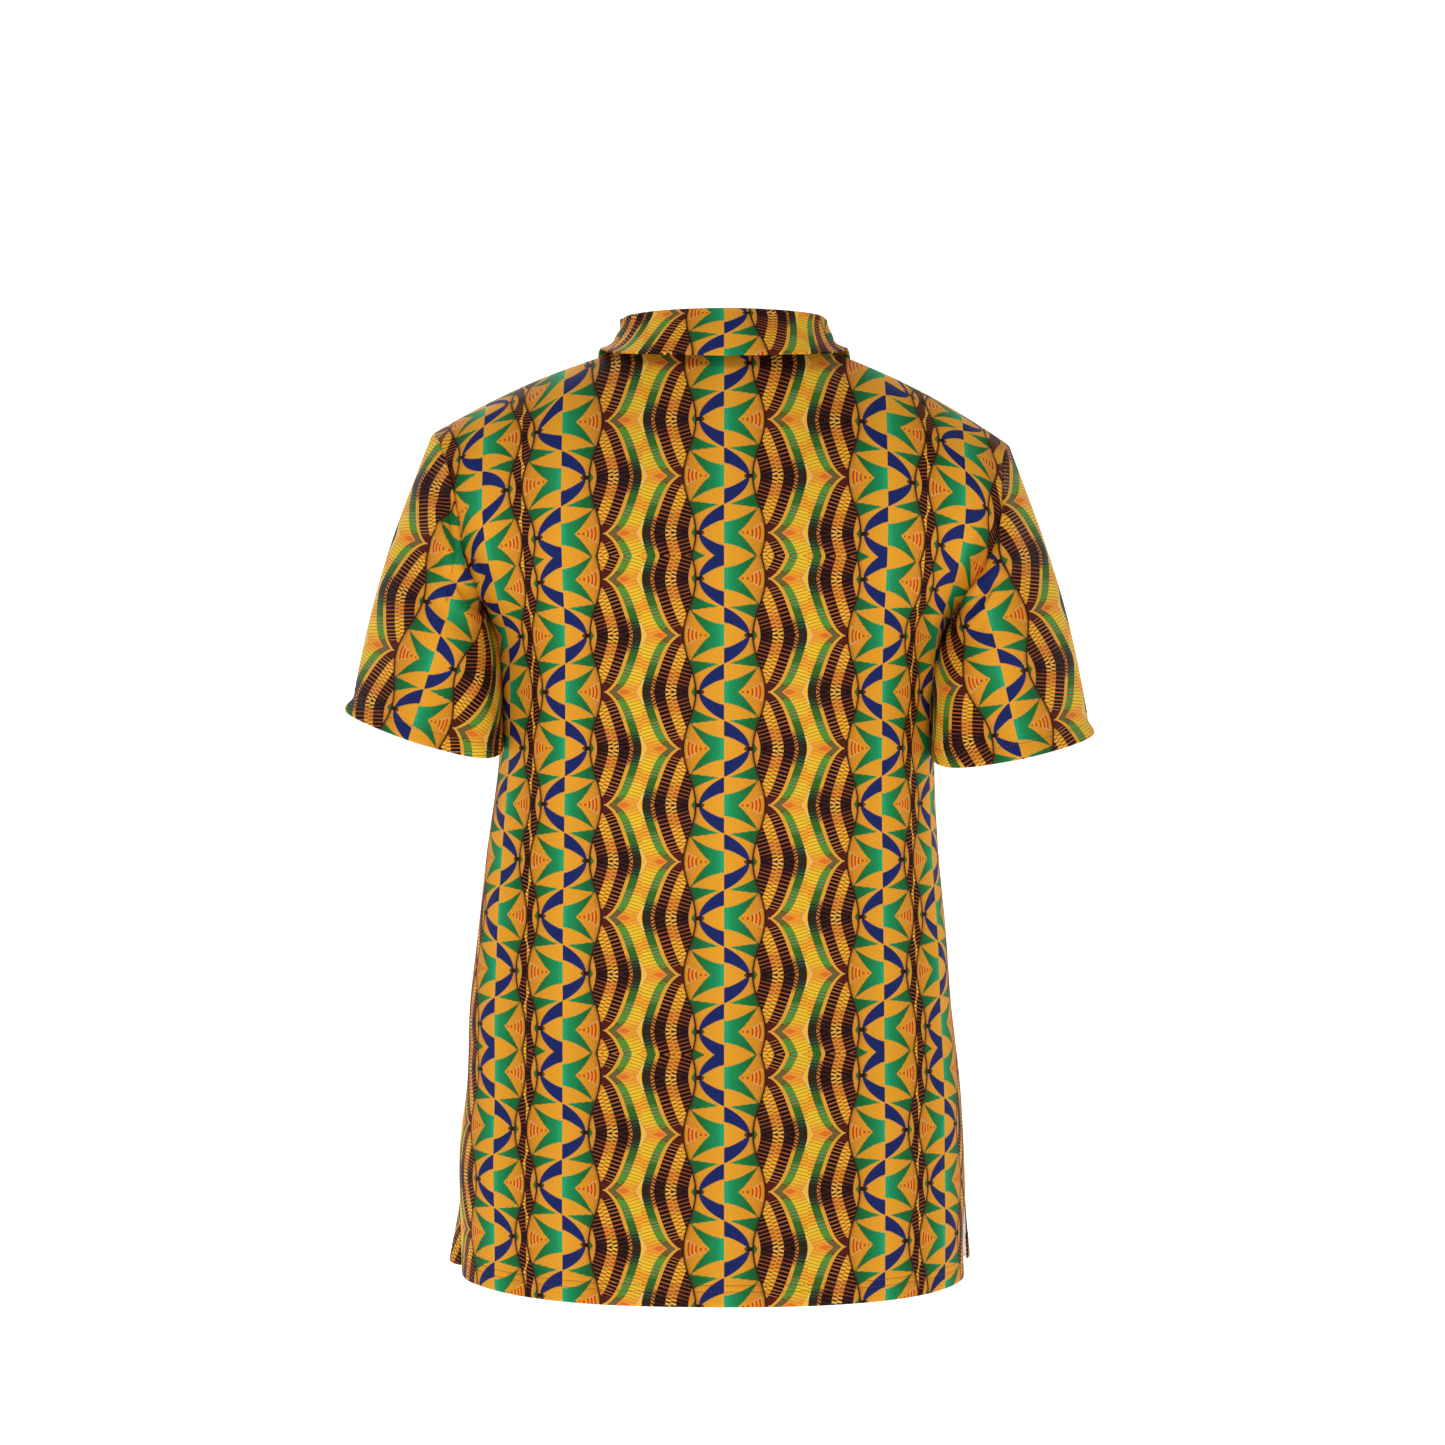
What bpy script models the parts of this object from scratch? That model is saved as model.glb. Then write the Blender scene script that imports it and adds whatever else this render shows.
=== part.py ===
# Short-sleeved polo shirt, hollow and open, as it hangs when worn.
# Frame: +Z up, the front faces -Y, the wearer's left is +X. The origin lies on the centre line,
# level with the back neck seam, where a wearer's shoulders and neck hold the shirt.
# Every cloth piece is a thin wall on a ruled or lofted form worked out from the sizes below.

import math

import bmesh
import bpy
import numpy as np
from mathutils import Vector
from mathutils.bvhtree import BVHTree

# Cloth and seams, in metres
CLOTH = 0.0015
COLLAR_CLOTH = 0.0020
PLACKET_CLOTH = 0.0018
SEAM_GAP = 0.0003

# Heights of the main levels
UNDERARM_Z = -0.222
HEM_BACK_Z = -0.7265
HEM_FRONT_Z = -0.7160
VENT_TOP_Z = -0.662
HEM_SIDE_LIFT = 0.0055          # the hem rises this much toward the side vents
HEM_LIFT_SPREAD = 3             # powers that keep this rise near the sides and near the hem
HEM_LIFT_REACH = 6

# Neckline and shoulder line
NECK_HALF_WIDTH = 0.086
NECK_POINT_Z = 0.0005
NECK_BACK = (0.060, 0.000)      # depth and height of the seam at the centre back
NECK_FRONT = (-0.072, -0.056)   # depth and height of the seam at the centre front
NECK_DIP = 1.5                  # how late the neckline drops as it leaves the shoulder seam
SHOULDER_LEFT = (0.229, -0.0636)
SHOULDER_RIGHT = (0.2235, -0.0720)
SHOULDER_BULGE = 0.005
NECK_SHARE = 0.42               # share of the panel's columns that end on the neckline

# Fullness of the front and back across the body
FLATNESS = 0.85
NECK_ROUNDNESS = 0.92           # the body rounds over gently at the neck
SHOULDER_ROUNDNESS = 0.48       # and fully at the shoulders
ROUNDING_START = 2.4            # power of the height at which the chest begins to round over
ROUNDING_DELAY = 0.4            # how much later that begins at the shoulders
NECK_CORE = 0.126               # share across a panel that rounds over as at the neck
SHOULDER_CORE = 0.9             # and from where it rounds over as at the shoulder
NECK_BEND_POWER = 5             # how near the neckline the sections start to bend with it
FULLEST_EDGE = 0.97             # most of the depth that the armhole edge may take

# Torso sections: height, half width left and right, depth of the back and of the front
TORSO = [
    (-0.222, 0.1800, 0.1725, 0.116, -0.130),
    (-0.236, 0.1772, 0.1690, 0.116, -0.130),
    (-0.256, 0.1760, 0.1665, 0.116, -0.130),
    (-0.316, 0.1762, 0.1648, 0.115, -0.131),
    (-0.391, 0.1857, 0.1680, 0.111, -0.127),
    (-0.454, 0.1927, 0.1739, 0.109, -0.123),
    (-0.509, 0.1990, 0.1778, 0.110, -0.123),
    (-0.572, 0.2013, 0.1849, 0.116, -0.127),
    (-0.624, 0.2072, 0.1880, 0.121, -0.131),
    (-0.665, 0.2072, 0.1893, 0.124, -0.134),
    (-0.727, 0.2060, 0.1890, 0.127, -0.137),
]

# Armhole seam: share of the way up, half width left and right, depth on the back and on the front
ARMHOLE = [
    (0.00, 0.1800, 0.1725, 0.000, 0.000),
    (0.12, 0.1850, 0.1810, 0.027, -0.029),
    (0.37, 0.1980, 0.2030, 0.053, -0.057),
    (0.55, 0.2045, 0.2120, 0.061, -0.065),
    (0.75, 0.2105, 0.2155, 0.055, -0.059),
    (0.90, 0.2185, 0.2172, 0.036, -0.039),
    (0.97, 0.2245, 0.2205, 0.020, -0.022),
    (1.00, 0.2290, 0.2235, 0.000, 0.000),
]

# Side vents: how far the front edge swings out at the hem on the left and on the right
VENT_FLARE_LEFT = 0.0095
VENT_FLARE_RIGHT = 0.0045
VENT_SWING_FORWARD = 0.0060
VENT_SWING_SPREAD = 10          # power that keeps the swing close to the edge

# Sleeve hems: side, outer corner x, y and z, inner corner x, y and z
SLEEVE_HEMS = [
    ("left", 0.2963, -0.020, -0.2795, 0.1715, 0.042, -0.3120),
    ("right", -0.2916, -0.020, -0.2976, -0.1610, 0.042, -0.3180),
]
SLEEVE_HALF_DEPTH = 0.056
SLEEVE_TUCK = 0.0030            # how far the sleeve arches away from the body under the arm
SLEEVE_TUCK_LIFT = 0.0050
SLEEVE_TUCK_TURN = 0.5
SLEEVE_TUCK_START = 0.45        # power that brings the arch close to the armhole
SLEEVE_SQUARENESS = 0.85
SLEEVE_NESTLE = 0.50            # how soon the inner side of the sleeve turns round to the back
SLEEVE_BACK_SAG = 0.011
SLEEVE_CAP_BULGE = 0.0075
SLEEVE_CAP_END = 0.92           # share of the sleeve's length where its bulge has ended
SLEEVE_SIDE_BULGE = 0.5         # share of the bulge at the front and back of the sleeve

# Collar: the fold line round the neck
FOLD_HALF_WIDTH = 0.0765
FOLD_BACK = (0.056, 0.0286)
FOLD_SIDE_Z = 0.0270
FOLD_FRONT = (-0.066, -0.031)
FOLD_DIP_BACK = 2.0             # how late the fold line rises or drops toward the centre back
FOLD_DIP_FRONT = 1.15           # and toward the centre front
FOLD_RADIUS = 0.0026
COLLAR_CLEARANCE = 0.0028
COLLAR_END_X = 0.0018
COLLAR_SEAM_GAP = 0.0004
COLLAR_BELLY = 0.0035           # how far the turned-down leaf arches out and up

# Points of the collar's section: shares of the stand, degrees round the roll, shares of the leaf
STAND_SHARES = (0.0, 0.33, 0.67, 1.0)
ROLL_TURNS = (125, 90, 55)
LEAF_SHARES = (0.0, 0.2, 0.45, 0.72, 1.0)
LEAF_START = len(STAND_SHARES) + len(ROLL_TURNS)

# Lower edge of the turned-down collar: angle round the neck from the centre back, x, y and z
COLLAR_EDGE = [
    (0.0, 0.000, 0.0820, -0.0105),
    (35.0, 0.055, 0.0700, -0.0098),
    (65.0, 0.0870, 0.0360, -0.0055),
    (90.0, 0.0985, -0.0020, 0.0005),
    (112.0, 0.0980, -0.0380, -0.0170),
    (132.0, 0.0870, -0.0680, -0.0410),
    (152.0, 0.0690, -0.0880, -0.0620),
    (168.0, 0.0510, -0.0980, -0.0755),
    (180.0, 0.0380, -0.1020, -0.0820),
]

# Placket and buttons
PLACKET_HALF_WIDTH = 0.016
WINDOW_HALF_WIDTH = 0.013
WINDOW_STRAIGHTENING = 1 / 6    # share of the lower front over which its columns become straight
PLACKET_OVERLAP = 0.008         # how far the strips run below the window, outside and inside
PLACKET_OVERLAP_INSIDE = 0.0048
PLACKET_TOP_GAP = 0.00075
PLACKET_COLUMNS = 5
BUTTON_HEIGHTS = (-0.072, -0.127, -0.182)
BUTTON_RADIUS = 0.0056
BUTTON_THICKNESS = 0.0026
BUTTON_RIM = 0.0013
BUTTON_DISH = 0.0006
BUTTON_ROUND = 0.0007
HOLE_RADIUS = 0.0008
HOLE_SPACING = 0.0014

# Drag folds at the underarms: start x and z, end x and z, width and depth
FOLDS = [
    (0.236, -0.118, 0.180, -0.205, 0.016, -0.0035),
    (0.210, -0.100, 0.160, -0.185, 0.015, 0.0030),
    (0.266, -0.200, 0.200, -0.240, 0.017, 0.0030),
    (-0.226, -0.130, -0.176, -0.210, 0.016, -0.0035),
    (-0.202, -0.108, -0.155, -0.192, 0.015, 0.0030),
    (-0.260, -0.206, -0.194, -0.246, 0.017, 0.0030),
]

FOLD_FADE = 0.035               # the folds fade out toward the side seam

# Mesh counts
HALF_COLUMNS = 11
LOWER_ROWS = 15
ROW_CROWDING = 1.35             # rows lie closer together toward the underarm
END_CROWDING = 0.6              # above it they crowd toward the underarm and the shoulder seam
UPPER_ROWS = 10
SLEEVE_ROWS = 9
FRONT_FIRST_COLUMN = NECK_SHARE * math.asin(WINDOW_HALF_WIDTH / NECK_HALF_WIDTH) / (0.5 * math.pi)
BUTTON_STEPS = 16
SHARP_DEGREES = 50
HOLE_STEPS = 6

COLOURS = {
    "back": (0.55, 0.34, 0.09),
    "front": (0.55, 0.34, 0.09),
    "sleeve": (0.50, 0.31, 0.09),
    "collar": (0.58, 0.36, 0.10),
    "placket": (0.52, 0.32, 0.09),
    "button": (0.03, 0.025, 0.02),
}


def clear_scene():
    for old in list(bpy.data.objects):
        bpy.data.objects.remove(old, do_unlink=True)


def smooth_curve(table, column, place):
    """Value of a table's column at a place, by a smooth curve through its rows."""
    keys = [row[0] for row in table]
    values = [row[column] for row in table]
    if keys[0] > keys[-1]:
        keys = keys[::-1]
        values = values[::-1]
    place = min(max(place, keys[0]), keys[-1])
    index = min(max(int(np.searchsorted(keys, place)) - 1, 0), len(keys) - 2)
    span = keys[index + 1] - keys[index]
    share = (place - keys[index]) / span
    slopes = np.gradient(np.array(values), np.array(keys))
    start_pull = slopes[index] * span
    end_pull = slopes[index + 1] * span
    rise = values[index + 1] - values[index]
    square = share * share
    cube = square * share
    return (values[index] + rise * (3 * square - 2 * cube)
            + start_pull * (cube - 2 * square + share) + end_pull * (cube - square))


def ease(share):
    share = min(max(share, 0.0), 1.0)
    return share * share * (3 - 2 * share)


def row_level(index):
    """Share of the way from the hem to the underarm at a row below the underarm."""
    return 1 - (1 - index / LOWER_ROWS) ** ROW_CROWDING


def rise_level(index):
    """Share of the way from the underarm to the top edge at a row above the underarm."""
    share = index / UPPER_ROWS
    return share - END_CROWDING * math.sin(2 * math.pi * share) / (2 * math.pi)


def fold_shift(point):
    """How far a point moves forward or back with the drag folds near it."""
    x, y, z = point
    shift = 0.0
    for start_x, start_z, end_x, end_z, width, depth in FOLDS:
        run = np.array((end_x - start_x, end_z - start_z))
        offset = np.array((x - start_x, z - start_z))
        along = float(offset @ run) / float(run @ run)
        nearest = min(max(along, 0.0), 1.0)
        gap = float(np.linalg.norm(offset - nearest * run))
        shift += depth * math.exp(-(gap / width) ** 2)
    return math.copysign(shift * ease(abs(y) / FOLD_FADE), y)


def shoulder_height(x):
    """Height of the shoulder line above a place across the body."""
    end_x, end_z = SHOULDER_LEFT if x >= 0 else SHOULDER_RIGHT
    share = (abs(x) - NECK_HALF_WIDTH) / (end_x - NECK_HALF_WIDTH)
    return NECK_POINT_Z + (end_z - NECK_POINT_Z) * share + SHOULDER_BULGE * math.sin(math.pi * share)


def neck_point(angle):
    """Point of the neckline, by the angle round the neck from the centre back."""
    across = math.sin(angle)
    toward = math.cos(angle)
    depth, height = NECK_BACK if toward >= 0 else NECK_FRONT
    reach = abs(toward)
    return np.array((NECK_HALF_WIDTH * across, depth * reach,
                     NECK_POINT_Z + (height - NECK_POINT_Z) * reach ** NECK_DIP))


def top_point(side, u):
    """Top edge of a panel: neckline in the middle, shoulder seam on both sides."""
    share = abs(u) / NECK_SHARE
    sign = 1.0 if u >= 0 else -1.0
    if share <= 1.0:
        angle = 0.5 * math.pi * share
        point = neck_point(angle if side > 0 else math.pi - angle)
        return np.array((sign * abs(point[0]), point[1], point[2]))
    end_x = (SHOULDER_LEFT if u >= 0 else SHOULDER_RIGHT)[0]
    out = (abs(u) - NECK_SHARE) / (1 - NECK_SHARE)
    x = sign * (NECK_HALF_WIDTH + (end_x - NECK_HALF_WIDTH) * out)
    return np.array((x, 0.0, shoulder_height(x)))


def lower_point(side, u, level, straight_x=None):
    """Point of a panel below the underarm; level is 0 at the hem and 1 at the underarm."""
    hem = HEM_BACK_Z if side > 0 else HEM_FRONT_Z
    z = hem + (UNDERARM_Z - hem) * level
    z += HEM_SIDE_LIFT * abs(u) ** HEM_LIFT_SPREAD * (1 - level) ** HEM_LIFT_REACH
    half = smooth_curve(TORSO, 1 if u >= 0 else 2, z)
    depth = smooth_curve(TORSO, 3 if side > 0 else 4, z)
    x = half * math.sin(0.5 * math.pi * u)
    if straight_x is not None:
        x += (straight_x - x) * ease(1 - (1 - level) / WINDOW_STRAIGHTENING)
    y = depth * max(1 - (x / half) ** 2, 0.0) ** (0.5 * FLATNESS)
    if side < 0 and z < VENT_TOP_Z:
        swing = ((VENT_TOP_Z - z) / (VENT_TOP_Z - hem)) * abs(u) ** VENT_SWING_SPREAD
        x += swing * (VENT_FLARE_LEFT if u >= 0 else -VENT_FLARE_RIGHT)
        y -= swing * VENT_SWING_FORWARD
    return np.array((x, y, z))


def form_depth(share, top_depth, low_depth, rise):
    """Depth of the body above the underarm, rounding over toward the top edge."""
    over = ease((share - NECK_CORE) / (SHOULDER_CORE - NECK_CORE))
    roundness = NECK_ROUNDNESS + (SHOULDER_ROUNDNESS - NECK_ROUNDNESS) * over
    rounding = 1 - rise ** (ROUNDING_START + ROUNDING_DELAY * over)
    return top_depth + (low_depth - top_depth) * rounding ** roundness


def upper_point(side, u, rise, straight_x=None):
    """Point of a panel above the underarm; rise is 0 at the underarm and 1 at the top edge."""
    top = top_point(side, u)
    if rise >= 1.0:
        return top
    edge_x = smooth_curve(ARMHOLE, 1 if u >= 0 else 2, rise)
    edge_y = abs(smooth_curve(ARMHOLE, 3 if side > 0 else 4, rise))
    end_x = (SHOULDER_LEFT if u >= 0 else SHOULDER_RIGHT)[0]
    low_depth = abs(smooth_curve(TORSO, 3 if side > 0 else 4, UNDERARM_Z))
    edge_share = min(edge_y / form_depth(1.0, 0.0, low_depth, rise), FULLEST_EDGE)
    turn = math.acos(edge_share ** (1 / FLATNESS))
    ring = edge_x / math.sin(turn)
    plain_x = ring * math.sin(turn * u)
    x = plain_x + (top[0] * edge_x / end_x - plain_x) * rise ** 2
    if straight_x is not None:
        x = straight_x
    z = UNDERARM_Z + (top[2] - UNDERARM_Z) * rise
    if abs(u) == 1.0:
        return np.array((math.copysign(edge_x, u), side * edge_y, z))
    bend = (1 - math.cos(math.asin(abs(x) / ring)) ** FLATNESS) / (1 - edge_share)
    beside_neck = 1 - ease((abs(u) - NECK_SHARE) / (SHOULDER_CORE - NECK_SHARE))
    bend *= 1 - rise ** NECK_BEND_POWER * beside_neck
    form = form_depth(abs(u), abs(top[1]), low_depth, rise)
    y = side * form * (1 - (1 - edge_share) * bend)
    return np.array((x, y, z))


def panel_grid(side, columns, straight_column=None):
    """Points of the back or the front, row by row from the hem to the top edge."""
    rows = []
    for index in range(LOWER_ROWS + UPPER_ROWS + 1):
        row = []
        for u in columns:
            straight_x = None
            if straight_column is not None and abs(abs(u) - straight_column) < 1e-6:
                straight_x = math.copysign(WINDOW_HALF_WIDTH, u)
            if index <= LOWER_ROWS:
                point = lower_point(side, u, row_level(index), straight_x)
            else:
                point = upper_point(side, u, rise_level(index - LOWER_ROWS), straight_x)
            row.append(point)
        rows.append(row)
    grid = np.array(rows)
    for row in grid:
        for point in row:
            point[1] += fold_shift(point)
    return grid


def grid_normals(grid, closed=False):
    """Smooth normals of a grid; a closed grid wraps round along its rows."""
    if closed:
        across = np.roll(grid, -1, axis=1) - np.roll(grid, 1, axis=1)
    else:
        across = np.gradient(grid, axis=1)
    along = np.gradient(grid, axis=0)
    normals = np.cross(across, along)
    return normals / np.linalg.norm(normals, axis=2, keepdims=True)


def meet(first, second):
    """Gives two matching seam edges one shared set of normals."""
    shared = first + second
    shared /= np.linalg.norm(shared, axis=-1, keepdims=True)
    first[...] = shared
    second[...] = shared


def pulled_back(edge, inner):
    """Seam edge points moved half a seam gap into their own piece."""
    run = inner - edge
    return edge + run / np.linalg.norm(run, axis=-1, keepdims=True) * 0.5 * SEAM_GAP


def wall(name, outer, inner, colour, closed=False, keep=None):
    """One closed cloth wall between an outer and an inner grid of points."""
    rows, columns = outer.shape[:2]
    span = columns if closed else columns - 1
    mesh = bmesh.new()
    skins = []
    for grid in (outer, inner):
        skins.append([[mesh.verts.new(Vector(point)) for point in row] for row in grid])
    edges = {}
    for row in range(rows - 1):
        for column in range(span):
            if keep is not None and not keep(row, column):
                continue
            after = (column + 1) % columns
            corners = [(row, column), (row, after), (row + 1, after), (row + 1, column)]
            points = [outer[r][c] for r, c in corners]
            turned = np.linalg.norm(points[3] - points[1]) < np.linalg.norm(points[2] - points[0])
            order = corners[1:] + corners[:1] if turned else corners
            for half in ((0, 1, 2), (0, 2, 3)):
                triangle = [order[place] for place in half]
                mesh.faces.new([skins[0][r][c] for r, c in triangle])
                mesh.faces.new([skins[1][r][c] for r, c in reversed(triangle)])
            for start, end in zip(corners, corners[1:] + corners[:1]):
                edges[(start, end)] = edges.get((end, start), 0) + 1
                if (end, start) in edges:
                    del edges[(end, start)]
                    del edges[(start, end)]
    for (start, end) in edges:
        mesh.faces.new([skins[0][end[0]][end[1]], skins[0][start[0]][start[1]],
                        skins[1][start[0]][start[1]], skins[1][end[0]][end[1]]])
    loose = [vertex for vertex in mesh.verts if not vertex.link_faces]
    bmesh.ops.delete(mesh, geom=loose, context="VERTS")
    if mesh.calc_volume(signed=True) < 0:
        bmesh.ops.reverse_faces(mesh, faces=mesh.faces)
    return make_object(name, mesh, colour)


def make_object(name, mesh, colour, roughness=0.8):
    data = bpy.data.meshes.new(name)
    mesh.to_mesh(data)
    mesh.free()
    data.shade_smooth()
    data.set_sharp_from_angle(angle=math.radians(SHARP_DEGREES))
    piece = bpy.data.objects.new(name, data)
    bpy.data.collections["polo_shirt"].objects.link(piece)
    material = bpy.data.materials.new(name)
    material.use_nodes = True
    shader = material.node_tree.nodes["Principled BSDF"]
    shader.inputs["Base Color"].default_value = (*colour, 1.0)
    shader.inputs["Roughness"].default_value = roughness
    shader.inputs["Metallic"].default_value = 0.0
    data.materials.append(material)
    return piece


def column_places(first=None):
    """Shares across a panel from its right edge to its left edge."""
    half = []
    neck_columns = round(HALF_COLUMNS * NECK_SHARE)
    for index in range(1, HALF_COLUMNS + 1):
        if index <= neck_columns:
            half.append(NECK_SHARE * index / neck_columns)
        else:
            half.append(NECK_SHARE + (1 - NECK_SHARE) * (index - neck_columns)
                        / (HALF_COLUMNS - neck_columns))
    if first is not None:
        half = [first] + half
    return [-place for place in reversed(half)] + [0.0] + half


def build_panels():
    """Back and front grids with their normals, seams still closed."""
    back_columns = column_places()
    front_columns = column_places(FRONT_FIRST_COLUMN)
    back = panel_grid(1, back_columns)
    front = panel_grid(-1, front_columns, FRONT_FIRST_COLUMN)
    back_normals = -grid_normals(back)
    front_normals = grid_normals(front)
    vent_row = vent_top_row()
    for edge in (0, -1):
        meet(back_normals[vent_row:, edge], front_normals[vent_row:, edge])
    neck_columns = round(HALF_COLUMNS * NECK_SHARE)
    outside = HALF_COLUMNS - neck_columns
    meet(back_normals[-1, :outside + 1], front_normals[-1, :outside + 1])
    meet(back_normals[-1, -outside - 1:], front_normals[-1, -outside - 1:])
    return back, front, back_normals, front_normals


def vent_top_row():
    levels = [HEM_BACK_Z + (UNDERARM_Z - HEM_BACK_Z) * row_level(index)
              for index in range(LOWER_ROWS + 1)]
    return min(range(LOWER_ROWS + 1), key=lambda index: abs(levels[index] - VENT_TOP_Z))


def sleeve_grid(side_name, loop):
    """Rows of points from the armhole loop to the sleeve hem."""
    corners = next(row for row in SLEEVE_HEMS if row[0] == side_name)
    outer = np.array(corners[1:4])
    inner = np.array(corners[4:7])
    centre = 0.5 * (outer + inner)
    stations = len(loop)
    hem = []
    for index in range(stations):
        angle = 2 * math.pi * index / stations
        depth = math.sin(angle)
        across = math.copysign(abs(math.cos(angle)) ** SLEEVE_SQUARENESS, math.cos(angle))
        hem.append(centre - 0.5 * (outer - inner) * across
                   + np.array((0.0, SLEEVE_HALF_DEPTH * depth, -SLEEVE_BACK_SAG * depth)))
    hem = np.array(hem)
    loop_centre = loop.mean(axis=0)
    axis_run = centre - loop_centre
    rows = []
    for row in range(SLEEVE_ROWS + 1):
        share = row / SLEEVE_ROWS
        ring = loop + (hem - loop) * share
        for index in range(stations):
            inner_side = max(math.cos(2 * math.pi * index / stations), 0.0)
            early = share ** (1 - SLEEVE_NESTLE * inner_side) - share
            ring[index, :2] += (hem[index, :2] - loop[index, :2]) * early
        middle = loop_centre + axis_run * share
        swell = SLEEVE_CAP_BULGE * math.sin(math.pi * min(share / SLEEVE_CAP_END, 1.0))
        arch = math.sin(math.pi * share ** SLEEVE_TUCK_START)
        for index, point in enumerate(ring):
            angle = 2 * math.pi * index / stations
            outside = max(-math.cos(angle), 0.0) ** 2 + SLEEVE_SIDE_BULGE * abs(math.sin(angle))
            away = point - middle
            away /= np.linalg.norm(away)
            ring[index] = point + away * swell * outside
            if row > 0:
                ring[index][1] += fold_shift(ring[index])
            turn = min(angle, 2 * math.pi - angle) / SLEEVE_TUCK_TURN
            tuck = arch * math.exp(-turn * turn)
            ring[index][0] += math.copysign(SLEEVE_TUCK * tuck, centre[0])
            ring[index][2] += SLEEVE_TUCK_LIFT * tuck * (1 - share)
        rows.append(ring)
    return np.array(rows)


def armhole_loop(back, front, edge):
    """Armhole points from the underarm over the back to the shoulder and down the front."""
    up = back[LOWER_ROWS:, edge]
    down = front[LOWER_ROWS + 1:-1, edge][::-1]
    return np.concatenate((up, down))


def plan_normal(angle):
    """Outward direction in plan round the neck."""
    across = math.sin(angle) / FOLD_HALF_WIDTH
    depth = FOLD_BACK[0] if math.cos(angle) >= 0 else -FOLD_FRONT[0]
    toward = math.cos(angle) / depth
    direction = np.array((across, toward, 0.0))
    return direction / np.linalg.norm(direction)


def collar_fold(angle):
    """Top of the collar's roll, by the angle round the neck."""
    toward = math.cos(angle)
    reach = abs(toward)
    depth, height = FOLD_BACK if toward >= 0 else FOLD_FRONT
    power = FOLD_DIP_BACK if toward >= 0 else FOLD_DIP_FRONT
    return np.array((FOLD_HALF_WIDTH * math.sin(angle), depth * reach,
                     FOLD_SIDE_Z + (height - FOLD_SIDE_Z) * reach ** power))


def collar_profile(angle, foot, sign):
    """Collar section: stand, roll and turned-down leaf."""
    fold = collar_fold(angle)
    out = plan_normal(angle)
    up = np.array((0.0, 0.0, 1.0))
    points = []
    stand_top = fold - up * FOLD_RADIUS - out * FOLD_RADIUS
    for share in STAND_SHARES:
        points.append(foot + (stand_top - foot) * share)
    centre = fold - up * FOLD_RADIUS
    for turn in ROLL_TURNS:
        turn = math.radians(turn)
        points.append(centre + out * FOLD_RADIUS * math.cos(turn) + up * FOLD_RADIUS * math.sin(turn))
    leaf_top = centre + out * FOLD_RADIUS
    degrees = min(math.degrees(abs(angle)), 180.0)
    edge = np.array([smooth_curve(COLLAR_EDGE, column, degrees) for column in (1, 2, 3)])
    edge[0] *= sign
    middle = 0.5 * (leaf_top + edge) + (out + up) * COLLAR_BELLY
    for share in LEAF_SHARES:
        points.append(leaf_top * (1 - share) ** 2 + middle * 2 * share * (1 - share) + edge * share ** 2)
    return np.array(points)


def push_out(points, first, body):
    """Moves points that lie too near the body out along its nearest normal."""
    for index in range(first, len(points)):
        place, normal, _, _ = body.find_nearest(Vector(points[index]))
        offset = Vector(points[index]) - place
        height = offset.dot(normal)
        if height < COLLAR_CLEARANCE:
            points[index] += np.array(normal * (COLLAR_CLEARANCE - height))
    return points


def build_collar(back, front, back_normals, front_normals, body):
    """One folded strip round the neck, its two ends at the centre front."""
    neck_columns = round(HALF_COLUMNS * NECK_SHARE)
    middle = HALF_COLUMNS
    feet = []
    for column in range(-neck_columns, neck_columns + 1):
        place = middle + column
        feet.append((back[-1, place], back_normals[-1, place], back[-2, place]))
    front_middle = HALF_COLUMNS + 1
    lefts = []
    rights = []
    for column in range(neck_columns, 0, -1):
        place = front_middle + column
        lefts.append((front[-1, place], front_normals[-1, place], front[-2, place]))
        place = front_middle - column
        rights.append((front[-1, place], front_normals[-1, place], front[-2, place]))
    end_angle = math.pi - math.asin(COLLAR_END_X / NECK_HALF_WIDTH)
    end_left = neck_point(end_angle)
    end_right = end_left * np.array((-1.0, 1.0, 1.0))
    end_normal = front_normals[-1, front_middle]
    lefts.append((end_left, end_normal, front[-2, front_middle]))
    rights.append((end_right, end_normal, front[-2, front_middle]))
    seamed_stations = rights[::-1] + feet + lefts
    stations = [seamed_stations[0]]
    for before, after in zip(seamed_stations, seamed_stations[1:]):
        normal = before[1] + after[1]
        stations.append((0.5 * (before[0] + after[0]), normal / np.linalg.norm(normal),
                         0.5 * (before[2] + after[2])))
        stations.append(after)
    grid = []
    normals_at_foot = []
    tangents = np.gradient(np.array([station[0] for station in stations]), axis=0)
    for (point, normal, inside), tangent in zip(stations, tangents):
        sign = 1.0 if point[0] >= 0 else -1.0
        across = min(abs(point[0]) / NECK_HALF_WIDTH, 1.0)
        angle = math.asin(across)
        if point[1] < -1e-6:
            angle = math.pi - angle
        foot = point - normal * 0.5 * CLOTH
        tangent = tangent / np.linalg.norm(tangent)
        apart = point - inside
        apart -= tangent * float(apart @ tangent)
        apart -= normal * float(apart @ normal)
        foot = foot + apart / np.linalg.norm(apart) * COLLAR_SEAM_GAP
        profile = collar_profile(sign * angle, foot, sign)
        grid.append(push_out(profile, LEAF_START, body))
        normals_at_foot.append(normal)
    grid = np.array(grid).transpose(1, 0, 2)
    normals = grid_normals(grid)
    if normals[0, len(stations) // 2][1] < 0:
        normals = -normals
    normals[0] = np.array(normals_at_foot)
    outer = grid + normals * 0.5 * COLLAR_CLOTH
    inner = grid - normals * 0.5 * COLLAR_CLOTH
    return wall("collar", outer, inner, COLOURS["collar"])


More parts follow.
